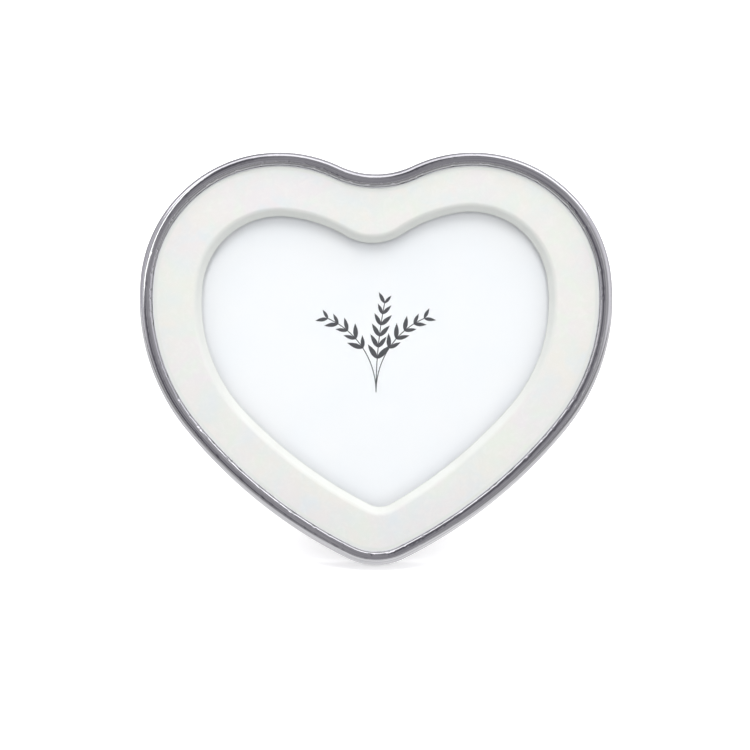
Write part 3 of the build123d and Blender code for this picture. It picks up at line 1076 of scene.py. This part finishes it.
# %% [markdown]
# ## The printed spray
# A new frame is sold with a card in it, and a print is what the pane is for. This one has a plain
# spray of leaves: three sprigs that rise from one foot. Geometry Nodes draws a sprig as an arc for
# the stem with pairs of leaves along it, and then presses the lot flat, since ink has no thickness
# to speak of. The leaf is a spindle turned once and used for every pair.

# %% Lathe
def turn_on_lathe(name, profile, facets=40):
    """A turned solid about Z through (radius, level) points, its two ends on the axis."""
    grown = bmesh.new()
    rings = []
    for radius, level in profile:
        if radius == 0:
            rings.append([grown.verts.new((0, 0, level))])
            continue
        angles = [2 * pi * index / facets for index in range(facets)]
        rings.append([grown.verts.new((radius * cos(a), radius * sin(a), level)) for a in angles])
    for low, high in zip(rings, rings[1:]):
        for index in range(facets):
            after = (index + 1) % facets
            corners = [low[index % len(low)], low[after % len(low)], high[after % len(high)]]
            corners.append(high[index % len(high)])
            grown.faces.new(list(dict.fromkeys(corners))).smooth = True
    bmesh.ops.recalc_face_normals(grown, faces=grown.faces)
    mesh = keep(grown, name)
    mesh.set_sharp_from_angle(angle=sharp_turn)
    return place_object(name, mesh)


# %% Sprig tree
def make_sprig_tree():
    """Geometry tree: a stem along an arc with pairs of leaves, pressed flat."""
    tree, given = open_shape_tree(
        "leaf_sprig",
        [
            ("Leaf", "Object", None),
            ("Radius", "Float", 13 * mm),
            ("Start", "Float", 0.0),
            ("Sweep", "Float", 2.0),
            ("Pairs", "Int", 11),
            ("Bare Pairs", "Int", 2),
            ("Leaf Spread", "Float", 0.6),
            ("Stem Width", "Float", 0.3 * mm),
            ("Thickness Share", "Float", 0.02),
            ("Seed", "Int", 1),
        ],
    )
    bow = {"Resolution": 64, "Radius": given["Radius"], "Start Angle": given["Start"]}
    bow["Sweep Angle"] = given["Sweep"]
    arc = put(tree, "GeometryNodeCurveArc", bow).outputs[0]
    half_width = work_out(tree, "MULTIPLY", given["Stem Width"], 0.5)
    ring = put(tree, "GeometryNodeCurvePrimitiveCircle", {"Resolution": 8, "Radius": half_width}).outputs[0]
    stem = {"Curve": arc, "Profile Curve": ring, "Fill Caps": True}
    parts = [put(tree, "GeometryNodeCurveToMesh", stem).outputs[0]]
    nodes_along = put(tree, "GeometryNodeResampleCurve", {"Curve": arc, "Count": given["Pairs"]}).outputs[0]
    leaf = put(tree, "GeometryNodeObjectInfo", {"Object": given["Leaf"]}).outputs["Geometry"]
    tangent = put(tree, "GeometryNodeInputTangent").outputs[0]
    place = put(tree, "GeometryNodeInputIndex").outputs[0]
    # leaves shrink along the stem, from 1.2 to 0.7 of the drawn size, and chance varies each
    grown = work_out(tree, "DIVIDE", place, given["Pairs"])
    size = work_out(tree, "SUBTRACT", 1.2, work_out(tree, "MULTIPLY", grown, 0.5))
    leafy = compare(tree, "GREATER_EQUAL", place, given["Bare Pairs"])
    for side, offset in ((1.0, 0), (-1.0, 40)):
        seed = work_out(tree, "ADD", given["Seed"], offset)
        chance = put(tree, "FunctionNodeRandomValue", {2: 0.85, 3: 1.15, "Seed": seed}).outputs[1]
        angle = work_out(tree, "MULTIPLY", given["Leaf Spread"], side)
        angle = work_out(tree, "MULTIPLY", angle, chance)
        turned = {"Vector": tangent, "Angle": angle}
        way = put(tree, "ShaderNodeVectorRotate", turned, rotation_type="Z_AXIS").outputs[0]
        facing = put(tree, "FunctionNodeAlignRotationToVector", {"Vector": way}, axis="Z").outputs[0]
        seat = {"Points": nodes_along, "Selection": leafy, "Instance": leaf, "Rotation": facing}
        seat["Scale"] = work_out(tree, "MULTIPLY", size, chance)
        parts.append(put(tree, "GeometryNodeInstanceOnPoints", seat).outputs[0])
    whole = put(tree, "GeometryNodeJoinGeometry")
    for part in parts:
        tree.links.new(part, whole.inputs[0])
    real = put(tree, "GeometryNodeRealizeInstances", {0: whole.outputs[0]}).outputs[0]
    flat = put(tree, "ShaderNodeCombineXYZ", {"X": 1.0, "Y": 1.0, "Z": given["Thickness Share"]}).outputs[0]
    pressed = put(tree, "GeometryNodeTransform", {"Geometry": real, "Scale": flat}).outputs[0]
    close_shape_tree(tree, pressed, given["Material"])
    return tree


sprig_tree = make_sprig_tree()
print("sprig tree nodes", len(sprig_tree.nodes))

# %% Printed spray
spray_foot = -20.0 * mm
leaf_length, leaf_half_width = 5.0 * mm, 0.75 * mm
ink_level = print_front + 0.02 * mm
leaf_steps = 10
leaf_belly = 0.8  # power under one, which brings the widest part of the leaf nearer to the stem
leaf_profile = []
for share in (step / leaf_steps for step in range(leaf_steps + 1)):
    leaf_profile.append((leaf_half_width * sin(pi * share**leaf_belly), leaf_length * share))
leaf_profile[0], leaf_profile[-1] = (0, 0.0), (0, leaf_length)
leaf = turn_on_lathe("leaf", leaf_profile, facets=12)
blank = place_object("spray_host", bpy.data.meshes.new("spray_host"))
whole_spray = bmesh.new()
for radius, start, sweep, pairs, bare, seed in (
    (26 * mm, 0, 66, 9, 4, 3),
    (26 * mm, 180, -66, 9, 4, 8),
    (150 * mm, 180, -11, 9, 3, 5),
):
    chosen = {"Leaf": leaf, "Radius": radius, "Start": radians(start), "Sweep": radians(sweep)}
    chosen.update({"Pairs": pairs, "Bare Pairs": bare, "Seed": seed, "Material": ink})
    sprig = grow_shape(blank, sprig_tree, "sprig", chosen)
    sprig.transform(Matrix.Translation((-radius * cos(radians(start)), 0.0, 0.0)))
    whole_spray.from_mesh(sprig)
spray = keep(whole_spray, "printed_spray")
drop(leaf, blank)
spray.transform(stand @ Matrix.Translation((0.0, spray_foot, ink_level)))
finish_piece(spray, "printed_spray", ink, None, "frame")

# %% [markdown]
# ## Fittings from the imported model
# Hinge leaves, turn buttons and the leg are right in size and shape, but their edges are knife
# sharp and their triangles are loose. Each is copied, its triangles are merged back into whole
# faces, and a narrow round is cut along the edges, as stamping or covering leaves them.

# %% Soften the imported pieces
flat_turn = radians(0.5)  # triangles that meet flatter than this become one face
edge_steps = 2


def soften(node, name, width):
    """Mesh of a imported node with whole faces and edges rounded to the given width."""
    grown = bmesh.new()
    grown.from_mesh(nodes[node].data)
    bmesh.ops.remove_doubles(grown, verts=grown.verts, dist=weld_distance)
    bmesh.ops.dissolve_limit(grown, angle_limit=flat_turn, verts=grown.verts, edges=grown.edges)
    edges = [edge for edge in grown.edges if edge.calc_face_angle(0.0) > sharp_turn]
    round_off = {"offset": width, "segments": edge_steps, "profile": 0.5, "affect": "EDGES"}
    bmesh.ops.bevel(grown, geom=edges, clamp_overlap=True, **round_off)
    for face in grown.faces:
        face.smooth = True
    mesh = keep(grown, name)
    mesh.set_sharp_from_angle(angle=sharp_turn)
    return mesh


fittings = [
    ("hinge_board_leaf", "board_leaf", 0.08 * mm, steel, "frame", "plated_steel"),
    ("hinge_leg_leaf", "leg_leaf", 0.08 * mm, steel, "easel", "plated_steel"),
    ("hinge_pin", "hinge_pin_rod", 0.15 * mm, steel, "frame", "plated_steel"),
    ("leg_velvet", "leg_cover", 0.35 * mm, velvet, "easel", "black_velvet"),
    ("easel_leg", "leg_core", 0.1 * mm, board_fibre, "easel", "fibre_board"),
    ("backing_board", "board_core", 0.1 * mm, board_fibre, "frame", "fibre_board"),
    ("filler_card", "filler_sheet", 0.05 * mm, card_pulp, "frame", "grey_card"),
]
for body in frame["bodies"]:
    if body.startswith("turn_button"):
        fittings.append((body, body + "_plate", 0.12 * mm, steel, body, "plated_steel"))
for node, name, width, material, body, slot in fittings:
    finish_piece(soften(node, name, width), name, material, node, body)

# %% [markdown]
# ## The pile of the velvet
# Velvet is a cloth of cut threads that stand up. Sheen gives its glow, but up close and along an
# edge the threads themselves show. So this tree scatters short thin cones over the cloth, each
# leaning a little its own way. The side that lies against the board gets none, as nobody sees it.

# %% Velvet pile
hidden_from = 0.3  # share of facing the hidden side from which the cloth gets no threads


def make_pile_tree():
    """Geometry tree: short threads over the host, but not on its hidden side or at the floor."""
    tree, given = open_shape_tree(
        "velvet_pile",
        [
            ("Density", "Float", 4e6),
            ("Length", "Float", 0.32 * mm),
            ("Thickness", "Float", 0.045 * mm),
            ("Lean", "Float", 0.5),
            ("Hidden Side", "Vector", (0.0, 0.0, 0.0)),
            ("Lowest Root", "Float", 0.8 * mm),
            ("Seed", "Int", 1),
        ],
    )
    normal = put(tree, "GeometryNodeInputNormal").outputs[0]
    toward = work_out_vector(tree, "DOT_PRODUCT", normal, given["Hidden Side"])
    seen = compare(tree, "LESS_THAN", toward, hidden_from)
    spot = put(tree, "ShaderNodeSeparateXYZ", {0: put(tree, "GeometryNodeInputPosition").outputs[0]})
    off_floor = compare(tree, "GREATER_THAN", spot.outputs["Z"], given["Lowest Root"])
    wanted = put(tree, "FunctionNodeBooleanMath", {0: seen, 1: off_floor}, operation="AND").outputs[0]
    spots = {"Mesh": given["Geometry"], "Selection": wanted, "Density": given["Density"]}
    spots["Seed"] = given["Seed"]
    scattered = put(tree, "GeometryNodeDistributePointsOnFaces", spots).outputs
    any_way = {0: (-1.0, -1.0, -1.0), "Seed": given["Seed"]}
    chance = put(tree, "FunctionNodeRandomValue", any_way, data_type="FLOAT_VECTOR").outputs[0]
    tipped = work_out_vector(tree, "SCALE", chance, given["Lean"])
    way = work_out_vector(tree, "ADD", scattered["Normal"], tipped)
    turned = put(tree, "FunctionNodeAlignRotationToVector", {"Vector": way}, axis="Z").outputs[0]
    spike = {"Vertices": 3, "Radius Top": 0.0, "Radius Bottom": given["Thickness"]}
    spike["Depth"] = given["Length"]
    cone = put(tree, "GeometryNodeMeshCone", spike, fill_type="NONE").outputs["Mesh"]
    planted = {"Points": scattered["Points"], "Instance": cone, "Rotation": turned}
    planted["Scale"] = put(tree, "FunctionNodeRandomValue", {2: 0.5, 3: 1.2, "Seed": 7}).outputs[1]
    close_shape_tree(tree, put(tree, "GeometryNodeInstanceOnPoints", planted).outputs[0], given["Material"])
    return tree


pile_tree = make_pile_tree()
leg_opening = radians(30)
leg_front = outward * cos(leg_opening) - upward * sin(leg_opening)
for cloth, body, hidden, seed in (
    ("board_velvet", "frame", outward, 5),
    ("leg_cover", "easel", leg_front, 11),
):
    values = {"Material": thread, "Seed": seed, "Hidden Side": tuple(hidden)}
    pile = grow_shape(bpy.data.objects[cloth], pile_tree, cloth + "_pile", values)
    finish_piece(pile, cloth + "_pile", thread, None, body)

# %% [markdown]
# ## Screws of the turn buttons
# Five screws hold the turn buttons and four rivets hold the hinge. Each kind is one head, turned
# as on a lathe, that Geometry Nodes puts at every seat, with its own chance turn, because nobody
# lines up the slots of screws.

# %% Fastener tree
def make_fastener_tree():
    """Geometry tree: cuts a cross recess in a head and puts it at every point of its host."""
    tree, given = open_shape_tree(
        "seat_fasteners",
        [
            ("Head", "Object", None),
            ("Has Cross", "Bool", True),
            ("Cross Width", "Float", 0.5 * mm),
            ("Cross Length", "Float", 2.4 * mm),
            ("Cross Top", "Float", 0.0),
            ("Cross Depth", "Float", 0.8 * mm),
            ("Spin Seed", "Int", 1),
        ],
    )
    head = put(tree, "GeometryNodeObjectInfo", {"Object": given["Head"]}).outputs["Geometry"]
    bars = []
    for across, along in (("X", "Y"), ("Y", "X")):
        depth = work_out(tree, "MULTIPLY", given["Cross Depth"], 2.0)
        sides = {across: given["Cross Width"], along: given["Cross Length"], "Z": depth}
        size = put(tree, "ShaderNodeCombineXYZ", sides).outputs[0]
        bars.append(put(tree, "GeometryNodeMeshCube", {"Size": size}).outputs["Mesh"])
    top = put(tree, "ShaderNodeCombineXYZ", {"Z": given["Cross Top"]}).outputs[0]
    cross = put(tree, "GeometryNodeMeshBoolean", operation="UNION")
    for bar in bars:
        tree.links.new(bar, cross.inputs["Mesh 2"])
    cutter = put(tree, "GeometryNodeTransform", {"Geometry": cross.outputs[0], "Translation": top})
    cut = put(tree, "GeometryNodeMeshBoolean", {"Mesh 1": head}, operation="DIFFERENCE")
    tree.links.new(cutter.outputs[0], cut.inputs["Mesh 2"])
    choice = {"Switch": given["Has Cross"], "False": head, "True": cut.outputs[0]}
    chosen = put(tree, "GeometryNodeSwitch", choice, input_type="GEOMETRY").outputs[0]
    any_turn = {1: (0.0, 0.0, 2 * pi), "Seed": given["Spin Seed"]}
    spin = put(tree, "FunctionNodeRandomValue", any_turn, data_type="FLOAT_VECTOR").outputs[0]
    placed = {"Points": given["Geometry"], "Instance": chosen, "Rotation": spin}
    seated = put(tree, "GeometryNodeInstanceOnPoints", placed).outputs[0]
    close_shape_tree(tree, seated, given["Material"])
    return tree


fastener_tree = make_fastener_tree()
print("fastener tree nodes", len(fastener_tree.nodes))

# %% Screws
def seat_fasteners(name, head, seats, place, values):
    """Mesh of one head at every seat, in the given place."""
    points = bpy.data.meshes.new(name + "_seats")
    points.from_pydata(seats, [], [])
    host = place_object(name + "_seats", points)
    mesh = grow_shape(host, fastener_tree, name, {"Head": head, "Material": steel, **values})
    mesh.transform(place)
    drop(host)
    return mesh


stand_back = stand.inverted()
button_seats = [stand_back @ Vector(j["pos_m"]) for n, j in joints.items() if n.startswith("button")]
# a profile is (radius, level along the axis) in mm, from the middle of the head to its shank's end
screw_profile = [
    (0, -2.6), (1.2, -2.56), (1.75, -2.4), (2.1, -2.1), (2.28, -1.75), (2.3, -1.45), (2.22, -1.2),
    (1.04, -1.2), (1.04, 4.4), (0.5, 4.9), (0, 4.9),
]
screw_head = turn_on_lathe("screw_head", [(radius * mm, level * mm) for radius, level in screw_profile])
screws = seat_fasteners(
    "button_screw_set", screw_head, button_seats, stand, {"Cross Top": -2.6 * mm, "Spin Seed": 6}
)
finish_piece(screws, "button_screw_set", steel, "button_screws", "frame")
drop(screw_head)

# %% [markdown]
# ## Rivets of the hinge
# One pair goes through the leaf on the board and one through the leaf on the leg. The second pair
# is placed with the leg open, as it stands at rest, and then rides it.

# %% Rivets
hinge_seat = stand_back @ Vector(joints["easel_hinge"]["pos_m"])
hinge_place = stand @ Matrix.Translation(hinge_seat)
leg_place = hinge_place @ Matrix.Rotation(leg_opening, 4, "X")
rivet_spread = 15.0 * mm
rivet_offset = 6.8 * mm
leaf_thickness = 0.6 * mm
barrel_radius = 2.1 * mm
rivet_profile = [(0, -0.9), (0.6, -0.87), (1.15, -0.74), (1.6, -0.5), (1.88, -0.22), (1.96, 0.0)]
shank_radius = 1.05
shank_end = {"board_rivet_set": 4.2, "leg_rivet_set": 3.9}
board_face = -leaf_thickness + velvet_back - hinge_seat.z
for name, node, body, place, direction, level in (
    ("board_rivet_set", "board_rivets", "frame", hinge_place, 1, board_face),
    ("leg_rivet_set", "leg_rivets", "easel", leg_place, -1, -barrel_radius),
):
    length = shank_end[name]
    shank = [(shank_radius, 0.0), (shank_radius, length), (0, length)]
    profile = [(radius * mm, depth * mm) for radius, depth in rivet_profile + shank]
    rivet = turn_on_lathe(name + "_head", profile)
    seats = [(side * rivet_spread / 2, direction * rivet_offset, level) for side in (-1, 1)]
    plain_head = {"Has Cross": False, "Spin Seed": 2}
    mesh = seat_fasteners(name, rivet, seats, place, plain_head)
    finish_piece(mesh, name, steel, node, body)
    drop(rivet)

# %% [markdown]
# ## Floor
# The frame stands on a wide pale floor that fades into the white behind it. Seen by the camera the
# floor glows a little, more so further off, so that no horizon shows. To light that bounces off it,
# the floor is a darker grey, or it would light the frame from below.

# %% Floor
def square(name, half, level):
    """A level square about the middle."""
    corners = [(-half, -half, level), (half, -half, level), (half, half, level), (-half, half, level)]
    mesh = bpy.data.meshes.new(name)
    mesh.from_pydata(corners, [], [(0, 1, 2, 3)])
    return mesh


def make_floor():
    """A pale floor that glows more further off, as the camera sees it."""
    mesh = square("floor", 3.0, 0.0)
    dull = {"Specular IOR Level": 0.0, "Roughness": 0.9}
    material, tree, shader, place = open_material("pale_floor", dull)
    path = put(tree, "ShaderNodeLightPath").outputs
    white, grey = (0.9, 0.9, 0.9, 1.0), (0.4, 0.4, 0.4, 1.0)
    shade = blend_colours(tree, path["Is Diffuse Ray"], white, grey)
    glow = spread(tree, work_out_vector(tree, "LENGTH", place), 0.2, 1.2, 0.42, 1.1)
    lift = work_out(tree, "MULTIPLY", path["Is Camera Ray"], glow)
    link(tree, shader, base_color=shade, emission_strength=lift)
    shader.inputs["Emission Color"].default_value = white
    mesh.materials.append(material)
    show(mesh, "floor")


make_floor()

# %% [markdown]
# ## The room in the metal
# A polished rim shows whatever faces it, so most of its look is the room. The grey bands along it
# are the dim front of the room, and the bright line is the lamp above. The camera sees none of
# this: it sees plain white. How bright a direction is depends on how far it faces the heart, and a
# dim door on the left and a pale wall on the right make the two halves of the rim differ.

# %% Room
room_stops = (  # how squarely a direction faces the heart, 0 to 1, and its brightness
    (0.0, 0.4),
    (0.4, 0.5),
    (0.5, 0.62),
    (0.83, 0.58),
    (0.88, 0.4),
    (0.915, 0.3),
    (0.975, 0.31),
    (0.99, 0.33),
)
room_tint = (1.0, 0.985, 1.04)
front_reach = 0.37  # how far the dim front of the room reaches up
door_edges = (-0.55, -0.3), (-0.16, -0.02)  # both soft sides, as parts of a direction sideways
door_level = -0.19
wall_edge, wall_level = (0.15, 0.75), 0.22


def make_room():
    """World whose brightness depends on the angle from the way the face looks."""
    world = bpy.data.worlds.new("room")
    bpy.context.scene.world = world
    world.use_nodes = True
    tree = world.node_tree
    tree.nodes.clear()
    direction = put(tree, "ShaderNodeTexCoord").outputs["Generated"]
    facing, rise, side = [
        work_out_vector(tree, "DOT_PRODUCT", direction, axis) for axis in (outward, upward, sideways)
    ]
    facing = work_out(tree, "MULTIPLY_ADD", work_out(tree, "MAXIMUM", rise, 0.0), front_reach, facing)
    ramp = put(tree, "ShaderNodeValToRGB")
    tree.links.new(work_out(tree, "MULTIPLY_ADD", facing, 0.5, 0.5), ramp.inputs[0])
    for place, level in room_stops:
        stop = ramp.color_ramp.elements.new(place)
        stop.color = (*(level * part for part in room_tint), 1.0)
    for end in (-1, 0):  # a new ramp has a stop at each end
        ramp.color_ramp.elements.remove(ramp.color_ramp.elements[end])
    door = spread(tree, side, *door_edges[0])
    door = work_out(tree, "MULTIPLY", door, spread(tree, side, *door_edges[1], door_level, 0.0))
    wall = work_out(tree, "ADD", door, spread(tree, side, *wall_edge, 0.0, wall_level))
    walls = put(tree, "ShaderNodeCombineXYZ", {"X": wall, "Y": wall, "Z": wall}).outputs[0]
    room = work_out_vector(tree, "ADD", ramp.outputs[0], walls)
    camera_ray = put(tree, "ShaderNodeLightPath").outputs["Is Camera Ray"]
    seen = blend_colours(tree, camera_ray, room, (1.0, 1.0, 1.0, 1.0))
    background = put(tree, "ShaderNodeBackground", {"Color": seen, "Strength": 1.0}).outputs[0]
    put(tree, "ShaderNodeOutputWorld", {"Surface": background})


make_room()
print("room stops", len(room_stops))

# %% [markdown]
# ## Cards that only the metal sees
# A photographer puts cards round a shiny object, just out of the picture, to draw lines in it. One
# lies on the floor, light under the frame and dark in front. Two narrow strips follow the rim, one
# on each side, and each is a line of light in the metal. They are hidden from all but reflections.

# %% Cards
card_turn = (-0.1, -0.05)  # where the card turns from dark to light, along Y
card_levels = (0.34, 0.85)
gleam_reach = 50 * mm  # from the rim's crest to its strip
gleam_taper = 1 / 6  # part of the strip's length over which each end narrows
gleam_stride = 4  # stations from one corner of the strip to the next


def set_card(mesh, name, find_level):
    """Puts a glowing card in the studio: find_level gives its brightness from its node tree."""
    material = bpy.data.materials.new(name)
    material.use_nodes = True
    tree = material.node_tree
    tree.nodes.clear()
    strength = find_level(tree)
    glow = put(tree, "ShaderNodeEmission", {"Color": (1, 1, 1, 1), "Strength": strength}).outputs[0]
    put(tree, "ShaderNodeOutputMaterial", {"Surface": glow})
    mesh.materials.append(material)
    card = show(mesh, name)
    card.visible_camera = card.visible_diffuse = card.visible_shadow = card.visible_transmission = False


def floor_card_level(tree):
    """Dark in front of the frame and light under it, with a soft change between."""
    place = put(tree, "ShaderNodeTexCoord").outputs["Object"]
    depth = put(tree, "ShaderNodeSeparateXYZ", {0: place}).outputs["Y"]
    return spread(tree, depth, *card_turn, *card_levels)


def make_gleam(name, first, last, leans, width, level):
    """A strip beside part of the rim, from one station to another. It leans outwards by degrees."""
    shares = np.linspace(0, 1, len(leans))
    points, ways = outlines["outer"]
    front = Vector((0, 0, 1))
    grown = bmesh.new()
    pairs = []
    for index in range(first, last + 1, gleam_stride):
        share = (index - first) / (last - first)
        tilt = radians(float(np.interp(share, shares, leans)))
        half = min(1.0, share / gleam_taper, (1 - share) / gleam_taper) * width / 2
        out = Vector((*ways[index], 0.0))
        crest = Vector((*points[index], crest_level)) - rim_round * out
        centre = crest + gleam_reach * (front * cos(tilt) + out * sin(tilt))
        beside = out * cos(tilt) - front * sin(tilt)
        pairs.append([grown.verts.new(centre + side * half * beside) for side in (-1, 1)])
    for before, after in zip(pairs, pairs[1:]):
        grown.faces.new((before[0], before[1], after[1], after[0]))
    mesh = keep(grown, name)
    mesh.transform(stand)
    set_card(mesh, name, lambda tree: level)


set_card(square("reflection_card", 1.5, 0.5 * mm), "reflection_card", floor_card_level)
make_gleam("left_gleam", 915, 1060, leans=(37, 22, 42, 64), width=20 * mm, level=1.6)
make_gleam("right_gleam", 190, 390, leans=(16, 9, 12), width=10 * mm, level=0.55)

# %% [markdown]
# ## Lamps
# A broad soft lamp hangs overhead, and its shade falls from the bevel on the print. A small key lamp
# and a fill light brighten the face from the front, and one more lights the floor behind. These
# three would blot the rim with white patches, so reflections don't see them.

# %% Lamps
def add_lamp(name, place, target, size, watts, in_metal=False):
    """A soft rectangular lamp that looks at a target."""
    lamp = bpy.data.lights.new(name, "AREA")
    lamp.shape = "RECTANGLE"
    lamp.size, lamp.size_y = size
    lamp.energy = watts
    light = place_object(name, lamp)
    light.location = place
    light.rotation_euler = (Vector(target) - Vector(place)).to_track_quat("-Z", "Y").to_euler()
    light.visible_glossy = in_metal
    light.visible_transmission = in_metal


heart_middle = (0.0, 0.0, 0.065)
floor_behind = (0.0, 1.1, 0.0)
add_lamp("overhead", (0.0, -0.02, 1.15), heart_middle, size=(3.0, 0.6), watts=5.8, in_metal=True)
add_lamp("key", (0.0, -0.5, 1.0), heart_middle, size=(0.5, 0.4), watts=3.9)
add_lamp("front_fill", (0.0, -1.25, 0.6), heart_middle, size=(0.9, 0.7), watts=6.1)
add_lamp("floor_fill", (0.0, 1.1, 1.6), floor_behind, size=(2.4, 1.6), watts=22)

# %% [markdown]
# ## Camera
# The camera looks square at the face from well back, so the heart isn't drawn out by perspective.
# The focal length follows from the distance and from how many metres one pixel covers.

# %% Camera
image_width = 750
sensor = 36.0
camera_distance = 1.2
metres_per_pixel = 0.3207 * mm  # on the outer wall's top, where the outline is seen
aim_across, aim_height = -0.32 * mm, -14.43 * mm
aim = stand @ Vector((aim_across, aim_height, crest_level - rim_round))
lens = bpy.data.cameras.new("camera")
lens.sensor_width = sensor
lens.lens = sensor * camera_distance / (image_width * metres_per_pixel)
camera = place_object("camera", lens)
camera.location = aim + camera_distance * outward
camera.rotation_euler = (-outward).to_track_quat("-Z", "Y").to_euler()
bpy.context.scene.camera = camera
bpy.context.scene.view_settings.view_transform = "Standard"
print("lens", round(lens.lens, 1), "mm")
